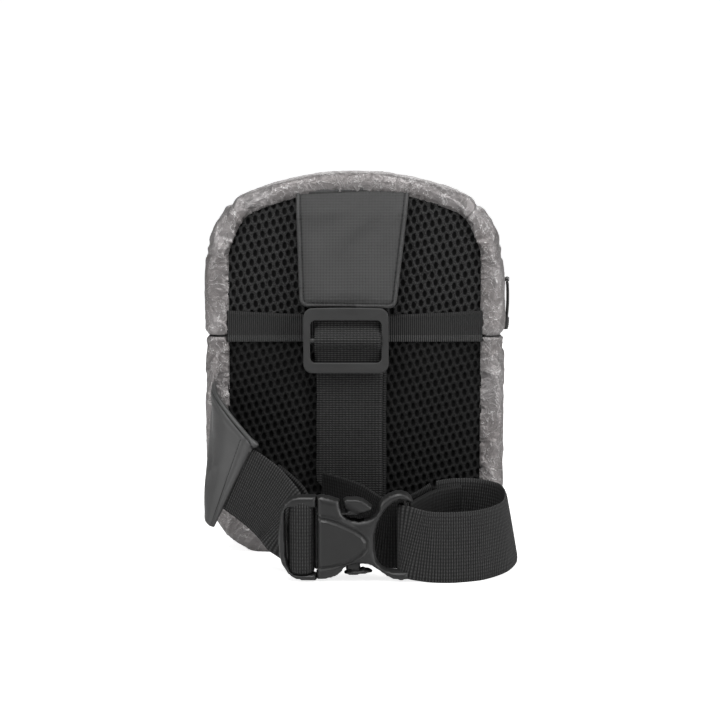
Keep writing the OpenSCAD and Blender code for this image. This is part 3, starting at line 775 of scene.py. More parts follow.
# %% The two gusset panels
def shell_strip(name, s0, s1, profile, cap, seed, replaced, body, cross_seams=()):
    """A slack strip along the outline from s0 to s1, puffed up between its seams."""
    section, walked = route(profile, 2.1)
    points, rows, s = outline_sweep(s0, s1, section, 2.3 * MM)
    cols = len(section)
    obj = piece(name, points, grid_faces(rows, cols, flip=True), finish=SHELL, slot="shell")
    from_seam = np.tile(walked, rows)
    along = np.repeat(s, cols)
    to_end = np.repeat(np.minimum(s - s0, s1 - s) / MM, cols)
    across = np.minimum(from_seam, walked[-1] - from_seam)
    distance = np.minimum(across, to_end)
    seam_gap = to_end.copy()
    for place in cross_seams:
        seam_gap = np.minimum(seam_gap, np.abs(along - place) / MM)
    distance = np.minimum(distance, seam_gap + 0.6)
    add_value(obj, "edge_d", distance)
    add_value(obj, "edge_at", along / MM + 400 * (to_end < across))
    add_value(obj, "seam_gap", np.minimum(seam_gap, 9))
    swell(obj, (across < 0.5) | (to_end < 0.5) | (seam_gap < 1.0), 0.06, cap)
    subdivided(obj)
    crinkle(obj, read_value(obj, "edge_d"), read_value(obj, "edge_at"), seed)
    gap = read_value(obj, "seam_gap")
    set_coords(obj, coords(obj) - normals(obj) * (0.8 * MM * hump(gap, 0.8))[:, None])
    # Marks the seam groove, where the shell finish paints shade near black.
    add_value(obj, "seam_painted_shade", hump(gap, 0.55))
    resting = coords(obj)
    resting[:, 2] = np.maximum(resting[:, 2], 0.1 * MM)
    set_coords(obj, resting)
    thicken(obj, 0.9)
    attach(obj, body)
    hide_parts(*replaced)


ROLL = [[12.6, 1.8], [11.9, -0.2], [9.4, -1.3], [5, -1.0], [1.8, 1.0], [0.3, 5]]
upper_section = ROLL + [[-0.2, 12], [-0.2, 20], [0.2, 27], [1.2, 31.8]]
lower_section = ROLL + [[-0.1, 14], [-0.3, 24], [-0.1, 34], [0.3, 41], [1.1, 44.2]]
corner_seam = height_at(201 * MM)
shell_strip("shell_upper_rear", seam_at, RING_LENGTH - seam_at, upper_section, 1.7, 3,
            ["gusset_upper_rear", "back_border"], "bag",
            (corner_seam, RING_LENGTH - corner_seam))
shell_strip("shell_lower", -seam_at, seam_at, lower_section, 1.7, 5,
            ["gusset_lower"], "bag")
shell_strip("shell_flap_edge", seam_at, RING_LENGTH - seam_at,
            [[1.2, 40.1], [-0.2, 41.2], [-0.3, 42.8], [0.9, 44.2]], 1.0, 7,
            ["gusset_upper_front"], "flap")

# %% [markdown]
# ## Front panel
# The front is cut in two at the fold where the bag opens. Both halves are padded and swell
# between their seams. The pocket zip lies in a shallow recess across the lower half.

# %% Front halves
POCKET_Z, POCKET_HALF_W, POCKET_HALF_H = 100, 51, 4.6
RECESS_W = 2.4


def pocket_gap(x, z):
    """Distance in mm outside the pocket zip's opening; below zero inside it."""
    dx = np.abs(x) / MM - POCKET_HALF_W
    dz = np.abs(z / MM - POCKET_Z) - POCKET_HALF_H
    outside = np.hypot(np.maximum(dx, 0), np.maximum(dz, 0))
    return np.where((dx > 0) | (dz > 0), outside, np.maximum(dx, dz))


def front_half(name, edge, seed, recess, replaced):
    def depth(x, z, d):
        face = 44.2 + 4.3 * smoothstep(d / MM, -2, 9)
        if recess:
            gap = pocket_gap(x, z)
            face = np.where(gap < RECESS_W, 45.3 + 1.6 * smoothstep(gap, 0, RECESS_W), face)
        return face
    obj = sheet_cut(name, edge, 2.7 * MM, depth, 1, finish=SHELL, slot="shell")
    co = coords(obj)
    d = read_value(obj, "edge_d")
    gap = pocket_gap(co[:, 0], co[:, 2]) if recess else np.full(len(co), 99.0)
    swell(obj, (d < 0.5) | (gap < 2.0), 0.05, 3.5)
    subdivided(obj)
    co = coords(obj)
    d = read_value(obj, "edge_d")
    at = read_value(obj, "edge_at")
    co[:, 1] = np.maximum(co[:, 1], back(44.1 + 1.3 * smoothstep(d, 0, 3)))
    set_coords(obj, co)
    if recess:
        gap = pocket_gap(co[:, 0], co[:, 2])
        at = np.where(gap < d, co[:, 0] / MM, at)
        d = np.minimum(d, np.maximum(gap - 1.4, 0))
    crinkle(obj, d, at, seed)
    thicken(obj, 1.4)
    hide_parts(replaced)
    return obj


FOLD_Z = SEAM_Z + 0.2 * MM
EDGE_IN = 0.9 * MM
front_lower = front_half("front_lower", region(EDGE_IN, high=FOLD_Z), 21, True,
                         "front_panel_lower")
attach(front_lower, "bag")
front_upper = front_half("front_upper", region(EDGE_IN, low=FOLD_Z), 23, False,
                         "front_panel_upper")
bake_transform(front_upper)

# %% [markdown]
# ## Back panel: spacer mesh, foam and cross band
# The back is a thick open mesh with rows of oval holes. The holes are real pits in a fine
# cut panel, and their floors are painted near black as painted shade. A ribbed band crosses the seam
# between the two mesh pieces, and its lower edge is bound. The lower mesh piece has a darker copy of the
# upper one's finish, also painted shade.

# %% Mesh panels with real holes
ACROSS = np.array([4.2, 1.1])
DOWN = np.array([-2.1, -5.4])


def hole_depth(x, z):
    """1 in the middle of a hole, 0 on the threads."""
    basis = np.stack([ACROSS, DOWN], 1)
    q = np.stack([x / MM, z / MM], -1) @ np.linalg.inv(basis).T
    nearest = np.full(len(x), 9.0)
    base = np.floor(q)
    for i in (0, 1):
        for j in (0, 1):
            off = (q - base - [i, j]) @ basis.T
            nearest = np.minimum(nearest, np.hypot(off[:, 0] / 1.42, off[:, 1] / 2.25))
    return 1 - smoothstep(nearest, 0.7, 1.08)


def mesh_panel(name, edge, finish, replaced):
    """A padded panel with pits; it lies lower under the strap than beside it."""
    def front(x, z, d):
        under_strap = 1 - smoothstep(np.abs(x / MM + 2), 19, 34)
        rise = smoothstep(d / MM, 0, 8)
        face = 1.6 - 1.15 * rise - 1.5 * rise * (1 - under_strap) * smoothstep(d / MM, 2, 26)
        return face + 1.1 * hole_depth(x, z) * smoothstep(d / MM, 0.4, 1.2)
    obj = pad(name, edge, 0.62 * MM, front, lambda x, z, d: np.full(len(x), 4.0),
              body="bag", slot="mesh", finish=finish)
    co = coords(obj)
    # Marks the hole floors, which the mesh finish paints near black as painted shade.
    pit = hole_depth(co[:, 0], co[:, 2]) * (co[:, 1] < back(3.4))
    add_value(obj, "pit", pit)
    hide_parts(replaced)
    print(name, "points", len(co))


BORDER = 11.9 * MM
MESH_SPLIT = 132 * MM
HALF_GAP = 0.2 * MM
mesh_panel("mesh_panel_upper", region(BORDER, low=MESH_SPLIT + HALF_GAP), MESH_UPPER,
           "back_mesh_upper")
mesh_panel("mesh_panel_lower", region(BORDER, high=MESH_SPLIT - HALF_GAP), MESH_LOWER_SHADED,
           "back_mesh_lower")

# %% Foam behind the mesh
foam = pad("foam_core", region(13 * MM), 4 * MM,
           lambda x, z, d: 4.2 + 1.2 * (1 - smoothstep(d / MM, 0, 4)),
           lambda x, z, d: 8.9 - 1.2 * (1 - smoothstep(d / MM, 0, 4)),
           body="bag", slot="foam", finish=FOAM)
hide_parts("back_foam")
print("foam points", len(foam.data.vertices))

# %% Ribbed cross band
def ribbed_band(name, low, top, face, rear, sag, depth, finish, replaced):
    """A flat band across the back; low and top are heights in mm at the sides."""
    wide = half_width((low + top) / 2 * MM, 11.6 * MM)
    cols = int(2 * wide / (BAND_RIB * MM / 4)) + 1
    rows = 15
    x = np.linspace(-wide, wide, cols)
    t = np.linspace(0, 1, rows)
    xx, tt = np.meshgrid(x, t)
    dip = sag * (1 - (xx / wide) ** 2) * tt
    z = (low + (top - low) * tt) * MM - dip * MM
    edge = smoothstep(tt, 0, 0.07) * (1 - smoothstep(tt, 0.93, 1))
    ribs = 0.5 + 0.5 * np.sin(2 * np.pi * xx / (BAND_RIB * MM))
    waver = 0.18 * cloud(np.stack([xx.ravel(), z.ravel()], 1), 0.02, 31).reshape(xx.shape)
    front = face + 0.35 * (1 - edge) - depth * ribs * edge + waver
    facing = np.stack([xx, back(front), z], -1).reshape(-1, 3)
    hidden = np.stack([xx, back(np.full_like(xx, rear)), z], -1).reshape(-1, 3)
    obj = piece(name, np.vstack([facing, hidden]), slab_faces(rows, cols, flip=True),
                body="bag", slot="grosgrain", finish=finish)
    tidy_normals(obj)
    add_value(obj, "along", np.tile(xx.ravel(), 2) / MM)
    add_value(obj, "across", np.tile(z.ravel(), 2) / MM)
    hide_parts(replaced)
    print(name, "is", round(2 * wide / MM), "mm wide, with a rib every", BAND_RIB, "mm")


ribbed_band("cross_band", 124.2, 141.6, -0.55, 0.4, 2.6, 0.22, GROSGRAIN, "back_band")
ribbed_band("band_binding", 123.6, 127.4, -1.0, -0.62, 0.0, 0.12, BINDING, "back_band_binding")

# %% [markdown]
# ## Webbing
# Webbing is a flat weave that keeps its width and bends along its length. Each run is swept
# along a route, with a rounded edge, fine raised ribs across it, and a slow waver so that it
# isn't a ruler-straight band.

# %% Sweep webbing along a route
def drawn(points):
    """Points in mm, with depth counted from the back panel's face, as points in the frame."""
    p = np.asarray(points, float) * MM
    p[..., 1] += BACK_Y
    return p


WEB_THICK = 1.4


def webbing(name, points, across, seed, width=38, waver=0.25, finish=WEBBING, body=None,
            replaced=(), slant=(0, 0)):
    """points and across run together; slant moves the two ends along the strap, at one edge."""
    route_in = np.hstack([drawn(points), np.asarray(across, float) * MM])
    walked_points, at = route(route_in, WEB_RIB / 4 * MM)
    p = walked_points[:, :3]
    at = at / MM
    w = unit(walked_points[:, 3:])
    t = unit(np.gradient(p, axis=0))
    w = unit(w - (w * t).sum(1, keepdims=True) * t)
    m = np.cross(t, w)
    half_w, half_t, bead = width / 2, WEB_THICK / 2, 0.55
    u = np.linspace(-1, 1, 25)
    side = np.concatenate([u, u[::-1]]) * half_w
    up = np.concatenate([np.ones(25), -np.ones(25)])
    edge = np.clip((half_w - np.abs(side)) / bead, 0, 1)
    lift = up * half_t * np.sqrt(1 - (1 - edge) ** 2 * 0.85)
    selvedge = hump(half_w - np.abs(side) - 1.6, 0.5) * 0.12
    rows = len(p)
    slow = cloud(np.stack([at * 0.03, np.full(rows, seed * 1.7)], 1), 0.5, seed)
    edge_wave = cloud(np.stack([at * 0.03, np.full(rows, seed * 2.9)], 1), 0.35, seed + 4)
    reach = side[None] * (1 + 0.012 * edge_wave[:, None])
    share = np.clip(at / max(at[-1], 1e-6), 0, 1)[:, None]
    push = (side[None] / half_w) * (slant[0] * (1 - share) + slant[1] * share)
    ribs = 0.075 * np.sin(2 * np.pi * (at[:, None] + push) / WEB_RIB) * up * (edge > 0.9)
    height = lift[None] + ribs - selvedge[None] * up
    bow = waver * slow[:, None] * (1 - (side[None] / half_w) ** 2)
    co = (p[:, None] + w[:, None] * reach[..., None] * MM + m[:, None] * (height + bow)[..., None] * MM
          + t[:, None] * push[..., None] * MM)
    cols = len(side)
    faces = grid_faces(rows, cols, wrap_cols=True).tolist()
    faces += [[i, i + 1, cols - 2 - i, cols - 1 - i] for i in range(24)]
    last = (rows - 1) * cols
    faces += [[last + cols - 1 - i, last + cols - 2 - i, last + i + 1, last + i] for i in range(24)]
    obj = piece(name, co.reshape(-1, 3), faces, slot="webbing", finish=finish)
    tidy_normals(obj)
    add_value(obj, "along", at[:, None] + push)
    add_value(obj, "across", np.tile(side, rows))
    if body:
        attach(obj, body)
    if replaced:
        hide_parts(*replaced)
    print(name, "runs", round(float(at[-1])), "mm")
    return obj


UP = [0, 0, 1]
SIDE = [1, 0, 0]

# %% Stitches and other small repeated parts
def beads(name, centres, directions, tops, size, body, finish, slot):
    """A rounded grain at each centre, lying along its direction, all in one mesh.

    size is a grain's length, width and height in mm.
    """
    length, width, height = size
    rings, sides = 6, 6
    c = np.asarray(centres, float)
    t = unit(np.asarray(directions, float))
    n = unit(np.asarray(tops, float))
    n = unit(n - (n * t).sum(1, keepdims=True) * t)
    b = np.cross(t, n)
    lat = np.linspace(-math.pi / 2, math.pi / 2, rings)
    lon = np.linspace(0, 2 * math.pi, sides, endpoint=False)
    a, o = np.meshgrid(lat, lon, indexing="ij")
    girth = np.cos(a) ** 0.6
    shape = np.stack([np.sign(np.sin(a)) * np.abs(np.sin(a)) ** 0.6 * length / 2,
                      girth * np.cos(o) * width / 2, girth * np.sin(o) * height / 2], -1)
    shape = shape.reshape(-1, 3) * MM
    points = (c[:, None] + t[:, None] * shape[None, :, :1] + b[:, None] * shape[None, :, 1:2]
              + n[:, None] * shape[None, :, 2:])
    one = grid_faces(rings, sides, wrap_cols=True)
    faces = (one[None] + np.arange(len(c))[:, None, None] * len(shape)).reshape(-1, 4)
    obj = piece(name, points.reshape(-1, 3), faces, body=body, slot=slot, finish=finish)
    tidy_normals(obj, 1e-7)
    return obj


def stitches(name, line, tops, body, slot, pitch, length):
    """A row of lockstitches on a line of frame points."""
    walked, _ = route(np.hstack([line, tops]), pitch * MM)
    p = walked[:, :3]
    t = np.gradient(p, axis=0)
    beads(name, p, t, walked[:, 3:], (length, 0.42, 0.3), body, THREAD, slot)
    print(name, len(p))


# %% Straps on the back
back_line = [[-3, -1.9, 24], [-3, -1.9, 60], [-3, -1.9, 120], [-3, -1.7, 160], [-3, -1.6, 199]]
webbing("strap_down_back", back_line, [SIDE] * 5, seed=3, body="bag", replaced=["strap_back"],
        slant=(-19, 0), finish=WEBBING)
webbing("strap_under_layer", [[-0.8, -0.35, 26], [-0.8, -0.3, 60], [-0.8, -0.3, 117]], [SIDE] * 3,
        seed=5, waver=0.1, body="bag", replaced=["strap_return"], slant=(-19, 0), finish=WEBBING_SHADED)
glide_wrap = [[-4, -3.9, 142], [-4, -4.0, 134.6], [-4, -6.1, 130.8], [-4, -9.2, 124.7],
              [-4, -6.3, 119], [-4, -4.1, 113.8], [-4, -3.9, 107.2]]
webbing("strap_over_bar", glide_wrap, [SIDE] * 7, seed=7, waver=0.12, body="glide",
        replaced=["strap_glide_wrap"])

# %% Straps round the buckle
lower_line = [[-19, -4, 28.6], [-11, -12, 28], [1, -24, 26.2], [12, -35, 21.2], [23, -38, 20.1],
              [35, -29, 21.6], [46.4, -18, 26.2]]
strap_lower = webbing("strap_behind_buckle", lower_line, [UP] * 7, seed=9, width=40,
                      finish=WEBBING_SHADED)
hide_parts("strap_lower")
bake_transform(strap_lower)
FLARE = [-0.165, 0, 0.986]
HALF_FLARE = [-0.08, 0, 0.997]
loop_across = [UP, UP, UP, HALF_FLARE, FLARE, FLARE, HALF_FLARE] + [UP] * 11
loop_line = [[46.6, -17.8, 26.4], [58, -9.6, 26.6], [70, -8.6, 25.8], [82, -14, 24.4], [87.2, -26, 23.6],
             [87, -40, 22.8], [82, -54, 21.2], [70, -66, 19.9], [56, -71.4, 19.5], [44, -71.8, 19.5],
             [36, -70.9, 20.2], [31.2, -70.2, 21.2], [27.2, -69.0, 22.2], [24.9, -67.7, 22.6],
             [24, -65.5, 22.7], [25, -63.3, 22.8], [27.2, -62.3, 22.8], [30.2, -60.9, 22.8]]
webbing("strap_loop_run", loop_line, loop_across, seed=11, waver=0.45, width=39,
        body="buckle_socket", replaced=["strap_loop"])
tail_line = [[30.6, -60.6, 22.8], [35.2, -50, 23.6], [42.2, -37, 24.6], [51.2, -27, 25.2],
             [60.2, -21.5, 25.3]]
webbing("strap_tail_end", tail_line, [UP] * 5, seed=13, waver=0.3, body="buckle_socket",
        replaced=["strap_tail"], finish=WEBBING_SHADED)

# %% [markdown]
# ## Top tab
# The tab is coated fabric folded over a thin pad, tucked under the shell at the top, and
# stitched a little inside its edge. It is one closed pad whose edge is rounded, with a shallow
# groove where the thread pulls it down and a few soft folds that fan out from one corner.

# %% Tab
def rounded(mm, r):
    """A quarter circle of radius r: 0 at the edge and 1 from r mm inside it."""
    return np.sqrt(np.clip(1 - (1 - np.minimum(mm / r, 1)) ** 2, 0, 1))


def rim_profile(d, r):
    return rounded(d / MM, r)


TAB_TOP, TAB_END = 212.0, 143.4
tab_edge = np.vstack([[[31.6, TAB_TOP + 1.6], [-33.6, TAB_TOP - 1.6]],
                      arc(-26.6, TAB_END + 5.4, 5, 180, 270, 12),
                      arc(19.2, TAB_END + 4.6, 5, 270, 360, 12)]) * MM


def tab_middle(z):
    """Depth in mm of the tab's middle: it dips under the shell at the top."""
    return -4.45 + 6.8 * smoothstep(z / MM, 196, 212)


def tab_front(x, z, d):
    fan = np.hypot(x / MM - 30, z / MM - TAB_TOP)
    turn = np.arctan2(z / MM - TAB_TOP, x / MM - 30)
    folds = 0.5 * np.sin(turn * 15 + 1.1) * smoothstep(fan, 14, 40) * (1 - smoothstep(fan, 55, 90))
    soft = 0.45 * cloud(np.stack([x, z], 1), 0.019, 41) + 0.1 * cloud(np.stack([x, z], 1), 0.006, 42)
    inner = smoothstep(d / MM, TAB_SEAM, 9)
    groove = 0.95 * hump(d / MM - TAB_SEAM, 0.6)
    ridge = 0.25 * hump(d / MM - 1.3, 0.6)
    face = tab_middle(z) - 1.25 * rim_profile(d, 1.3) + groove - ridge
    return face - 0.5 * inner - (folds + soft) * inner


tab = pad("top_tab_pad", tab_edge, 1.25 * MM, tab_front,
          lambda x, z, d: tab_middle(z) + 1.2 * rim_profile(d, 1.3),
          body="bag", slot="tab", finish=TAB)
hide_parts("top_tab")

# The stitch line runs a little inside the edge, and stops where the tab goes under the shell.
seam = walk_closed(tab_edge, 1.0 * MM)
tangent = unit(np.roll(seam, -1, 0) - np.roll(seam, 1, 0))
inward = np.stack([-tangent[:, 1], tangent[:, 0]], 1)
seam = seam + inward * TAB_SEAM * MM
seam = seam[(seam[:, 1] < 206 * MM) & (seam[:, 1] > TAB_END * MM)]
first = int(np.argmax(np.linalg.norm(np.diff(seam, axis=0), axis=1)))
if np.linalg.norm(seam[first + 1] - seam[first]) > 10 * MM:
    seam = np.roll(seam, -(first + 1), 0)
seam_face = tab_front(seam[:, 0], seam[:, 1], np.full(len(seam), TAB_SEAM * MM))
seam_line = np.stack([seam[:, 0], back(seam_face - 0.08), seam[:, 1]], 1)
stitches("tab_stitches", seam_line, np.tile([0, -1.0, 0], (len(seam), 1)), "bag", "tab", 2.6, 1.9)

# %% [markdown]
# ## Moulded hardware
# The glide, the zip stops and the sliders keep the frame's shapes, so their solids are copied.
# The buckle is cast anew from crowned slabs that are melted together. Each is remade as one even
# skin, whose edges are relaxed into the soft radii that a mould leaves. The raised line of the
# buckle's face is pressed in afterwards.

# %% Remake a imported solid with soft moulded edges
def reskin(obj, voxel, relax):
    remesh = obj.modifiers.new("skin", "REMESH")
    remesh.mode = "VOXEL"
    remesh.voxel_size = voxel * MM
    smooth = obj.modifiers.new("relax", "SMOOTH")
    smooth.factor = 0.5
    smooth.iterations = relax
    baked(obj)


def dress(obj, finish, body, node):
    obj.data.shade_smooth()
    obj.data.materials.clear()
    obj.data.materials.append(finish)
    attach(obj, body)
    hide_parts(node)
    print(obj.name, "points", len(obj.data.vertices))


def soft_copy(node, name, voxel, relax, body, finish, shape=None):
    mesh = nodes[node].data.copy()
    obj = bpy.data.objects.new(name, mesh)
    bpy.context.scene.collection.objects.link(obj)
    mesh.materials.clear()
    bm = bmesh.new()
    bm.from_mesh(mesh)
    bmesh.ops.remove_doubles(bm, verts=bm.verts, dist=1e-6)
    bm.to_mesh(mesh)
    bm.free()
    reskin(obj, voxel, relax)
    if shape:
        set_coords(obj, shape(coords(obj), normals(obj)))
    dress(obj, finish, body, node)


def glide_shape(co, n):
    """The top bar arches forward and is a little fatter than the lower one."""
    x, z = co[:, 0] / MM + 5, co[:, 2] / MM
    front_face = np.clip(-n[:, 1], 0, 1)
    top_bar = smoothstep(z, 135, 137.5)
    swell_up = top_bar * 0.5 * (1 - (x / 24.3) ** 2)
    crown = 0.45 * front_face * hump(z - 139.8, 2.4)
    low = 0.3 * front_face * hump(z - 109.2, 2.2)
    co = co.copy()
    co[:, 1] -= (crown + low) * MM
    co[:, 2] += swell_up * smoothstep(z, 140, 143.2) * MM
    return co


soft_copy("tri_glide", "tri_glide_frame", 0.32, 7, "glide", GLIDE, glide_shape)

# %% Buckle outlines, in mm from the line where its two halves meet
JOINT_X, BUCKLE_Z, BUCKLE_Y = -20.8, 24.2, -65.5
BODY_EDGE = [[0, 23.0], [3.6, 23.3], [8, 22.4], [12.9, 20.8], [13.6, 16.6], [14.7, 13.5],
             [16.6, 11.4], [19.9, 10.1], [23.7, 9.8], [28, 10.5], [31.3, 12.1], [33.4, 14.7],
             [33.7, 17.5], [34.4, 19.7], [36.3, 21.9], [39, 23.8], [42.2, 25], [45.5, 25.6],
             [49.3, 24.6], [51.5, 22.4], [52.8, 19.3], [51.2, 19.2], [49.3, 20.3], [45.5, 20.6],
             [41.7, 18.9], [38.4, 16.0], [35.7, 12.2], [33.5, 7.3], [32.1, 2.0], [31.9, -2.1],
             [32.1, -7.5], [33.2, -13], [35.7, -16.1], [38.4, -17.3], [42, -18], [46, -18],
             [50, -17.8], [51, -22], [49.5, -23.4], [45.5, -23.8], [41, -22.9], [37.9, -21.3],
             [34.6, -18.8], [32.4, -17.6], [29.7, -15.5], [25.4, -14.6], [20.5, -15.2],
             [16, -16.5], [13.6, -19.5], [11.2, -21.3], [8, -22.6], [3.6, -23.3], [0, -23.4]]
RAISED_EDGE = [[-3, 10.2], [5.8, 9.1], [11.2, 7.4], [16.6, 5], [21, 2.8], [24.3, 0.6],
               [26.2, -2.1], [25.9, -5.4], [23.7, -8.1], [19.4, -10.8], [14.5, -12.7],
               [8.5, -14.3], [-3, -16]]
FRAME_EDGE = [[0.4, 23.0], [-10.4, 23.0], [-13.3, 22.4], [-17.1, 19.4], [-19.3, 14.0],
              [-20.4, 3.3], [-20.6, -2.1], [-20.1, -10.3], [-18.7, -15.3], [-14.9, -20.8],
              [-11.4, -23.0], [-7.8, -23.8], [0.4, -23.9], [0.4, -19.8], [-11.4, -19.8],
              [-13.6, -18.4], [-15.2, -15], [-16.2, -10], [-16.5, -2], [-16.6, 13.8], [-16, 15.6],
              [-14.6, 16.1], [0.4, 16.1]]
PAD_EDGE = [[15.0, 15.6], [14.8, 18], [14.4, 21.0], [16.6, 22], [21, 22.2], [25.3, 21.4],
            [28.1, 19.4], [31.4, 16.8], [30.2, 15.0], [26, 13.2], [21, 12.8], [17, 13.9]]
LOWER_PAD = [[15.2, -18.9], [15.0, -20.2], [18, -21.0], [23, -20.8], [28, -20.0], [31, -19.2],
             [30, -18.0], [25.5, -16.9], [20.5, -17.4], [17, -18.4]]


def bar(u0, u1, w0, w1):
    """The edge of a straight bar."""
    return [[u0, w0], [u1, w0], [u1, w1], [u0, w1]]


def on_buckle(edge):
    return (np.asarray(edge, float) + [JOINT_X, BUCKLE_Z]) * MM


def plate(edge, half_t, rounding, rim_t, tilt=None):
    """A crowned slab: rim_t from its middle at the edge, and half_t from rounding mm inside."""
    def rise(x, z, d):
        t = (rim_t + (half_t - rim_t) * rim_profile(d, rounding)) * np.minimum(d / MM / 0.3, 1)
        if tilt:
            facet_t = tilt(x / MM - JOINT_X, z / MM - BUCKLE_Z)
            t = np.minimum(t, np.maximum(facet_t, 0.6)) * (d > 0)
        return t
    return pad("slab", on_buckle(edge), 0.8 * MM, lambda x, z, d: BUCKLE_Y - rise(x, z, d),
               lambda x, z, d: BUCKLE_Y + rise(x, z, d))


def cast(name, slabs, voxel, relax, body, node, shape=None, hollow=None):
    """Melt the slabs into one skin, relax its edges, shape its face and hollow it."""
    base = slabs[0]
    bm = bmesh.new()
    for slab in slabs:
        bm.from_mesh(slab.data)
    bm.to_mesh(base.data)
    bm.free()
    for slab in slabs[1:]:
        bpy.data.objects.remove(slab)
    base.name = base.data.name = name
    reskin(base, voxel, relax)
    if shape:
        set_coords(base, shape(coords(base), normals(base)))
    if hollow:
        dig = base.modifiers.new("hollow", "BOOLEAN")
        dig.operation = "DIFFERENCE"
        dig.solver = "MANIFOLD"
        dig.object = hollow
        baked(base)
        bpy.data.objects.remove(hollow)
    dress(base, PLASTIC, body, node)


def press_raised(co, n):
    """The face stands up inside the raised edge, with a fine groove along it."""
    flat = np.stack([co[:, 0], co[:, 2]], 1)
    edge = on_buckle(RAISED_EDGE)
    distance, _ = edge_distance(flat, edge)
    d = distance / MM * np.where(inside(flat, edge), 1, -1)
    u = flat[:, 0] / MM - JOINT_X
    facing = smoothstep(-n[:, 1], 0.6, 0.95) * smoothstep(30 - u, 0, 2)
    step = 0.75 * smoothstep(d, -0.6, 0.6) - 0.55 * hump(d + 1.3, 0.6) + 0.35 * hump(d + 2.8, 0.6)
    crown = 0.6 * smoothstep(u, 36, 46)
    co = co.copy()
    co[:, 1] -= (step * facing + crown * np.sign(-n[:, 1])) * MM
    return co


# %% Cast the buckle's socket, frame and arms
low_corner = [JOINT_X - 3, BUCKLE_Y - 3.9, BUCKLE_Z - 18.6]
high_corner = [JOINT_X + 26, BUCKLE_Y + 3.9, BUCKLE_Z + 18.4]
box = np.array([[(low_corner, high_corner)[i >> k & 1][k] for k in range(3)] for i in range(8)])
pocket = piece("pocket", drawn(box), [[0, 2, 3, 1], [4, 5, 7, 6], [0, 1, 5, 4], [2, 6, 7, 3],
                                      [0, 4, 6, 2], [1, 3, 7, 5]])
socket_slabs = [plate(BODY_EDGE, 6.2, 4.6, 2.4), plate(bar(46.8, 49.4, -22, 23), 1.5, 1.2, 0.8)]
cast("buckle_socket_body", socket_slabs, 0.36, 5, "buckle_socket", "buckle_female",
     press_raised, pocket)
frame_slabs = [plate(FRAME_EDGE, 5.6, 2.6, 2.6), plate(bar(-11.6, -8.8, -22, 18), 1.6, 1.2, 0.8),
               plate(bar(-1.0, 1.2, -18, 18), 3.2, 1.4, 2.2),
               plate(bar(-0.5, 15, -2.2, 2.2), 2.4, 1.4, 1.2)]
cast("buckle_male_frame", frame_slabs, 0.34, 5, "bag", "buckle_male")


def facet(u, w):
    """The pad's outer half falls away along a slanted ridge."""
    return np.minimum(5.6, 5.6 + 0.55 * (w - 12.2 - (28.5 - u) * 0.7))


for name, edge, sign, node in (("buckle_arm_upper", PAD_EDGE, 1, "buckle_arm_top"),
                               ("buckle_arm_lower", LOWER_PAD, -1, "buckle_arm_bottom")):
    link = (11.8, 14.6) if sign > 0 else (-18.4, -11.8)
    arm_slabs = [plate(edge, 5.6, 2.4, 2.0, tilt=facet if sign > 0 else None),
                 plate(bar(-0.6, 24, *sorted((11.8 * sign, 14.2 * sign))), 3.3, 1.2, 1.6),
                 plate(bar(16, 24, *link), 3.3, 1.2, 1.6)]
    cast(name, arm_slabs, 0.34, 3, node[7:], node)

# %% [markdown]
# ## Wing and its strap
# The wing is a folded flap of smooth coated fabric that leaves the bag's side seam, bows out
# and narrows to the webbing sewn into its end. Its upper edge is bound with a thin piping.

# %% Wing panel
ROOT_X = -82.0
WING_ROOT = np.array([[ROOT_X, -1.6, 33], [ROOT_X + 2, -1.6, 98.5]])
WING_BOW = np.array([[ROOT_X - 6, -32, 23], [ROOT_X - 3, -26, 99.5]])
WING_END = np.array([[ROOT_X + 3, -31, 22], [ROOT_X + 26, -40, 69.5]])


def wing(u, v):
    """A point of the wing in mm: u from the bag to the strap, v from its foot to its top."""
    u, v = np.asarray(u, float)[..., None], np.asarray(v, float)[..., None]
    a, b, c = (line[0] + (line[1] - line[0]) * v for line in (WING_ROOT, WING_BOW, WING_END))
    return (1 - u) ** 2 * a + 2 * u * (1 - u) * b + u ** 2 * c


def wing_normal(u, v):
    e = 0.01
    return unit(np.cross(wing(u + e, v) - wing(u - e, v), wing(u, v + e) - wing(u, v - e)))


def wing_piece():
    nu, nv = 76, 84
    u = np.linspace(0, 1, nu)
    v = np.linspace(0, 1, nv)
    uu, vv = np.meshgrid(u, v, indexing="ij")
    flat = wing(uu, vv)
    n = wing_normal(uu, vv)
    n *= np.sign(-n[:, :, 1:2].mean())
    length, high = 62.0, 60.0
    d = np.minimum((1 - uu) * length, np.minimum(vv, 1 - vv) * high)
    d = np.minimum(d, uu * length + 3)
    half_t = rounded(d, 1.1)
    hem = 0.45 * (1 - smoothstep((1 - uu) * length, 6.2, 7.6))
    wander = 0.8 * cloud(vv.reshape(-1, 1) * 0.06, 0.02, 55).reshape(uu.shape)
    line = 0.3 * hump((1 - uu) * length - 4.2 + wander, 0.6)
    line += 0.25 * hump((1 - vv) * high - 3.2, 0.5)
    q = np.stack([uu * 0.062, vv * 0.06], -1).reshape(-1, 2)
    diagonal = np.stack([q[:, 0] + q[:, 1], (q[:, 0] - q[:, 1]) * 0.35], 1)
    folds = (1.5 * cloud(diagonal, 0.02, 51) + 0.5 * cloud(q, 0.009, 52)).reshape(uu.shape)
    folds += 0.8 * crease(q, 0.03, 53).reshape(uu.shape)
    calm = smoothstep(d, 1, 12) * (1 - 0.85 * smoothstep(uu, 0.5, 0.8))
    face = half_t + hem * smoothstep(d, 0, 1) - line + folds * 0.9 * calm
    rear = half_t - folds * 0.9 * calm
    front = drawn(flat + n * face[..., None])
    behind = drawn(flat - n * rear[..., None])
    obj = piece("wing_pad", np.vstack([front.reshape(-1, 3), behind.reshape(-1, 3)]),
                slab_faces(nu, nv), body="bag", slot="wing", finish=WING)
    tidy_normals(obj, 2e-6)
    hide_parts("wing_panel")
    print("wing points", len(obj.data.vertices))


wing_piece()

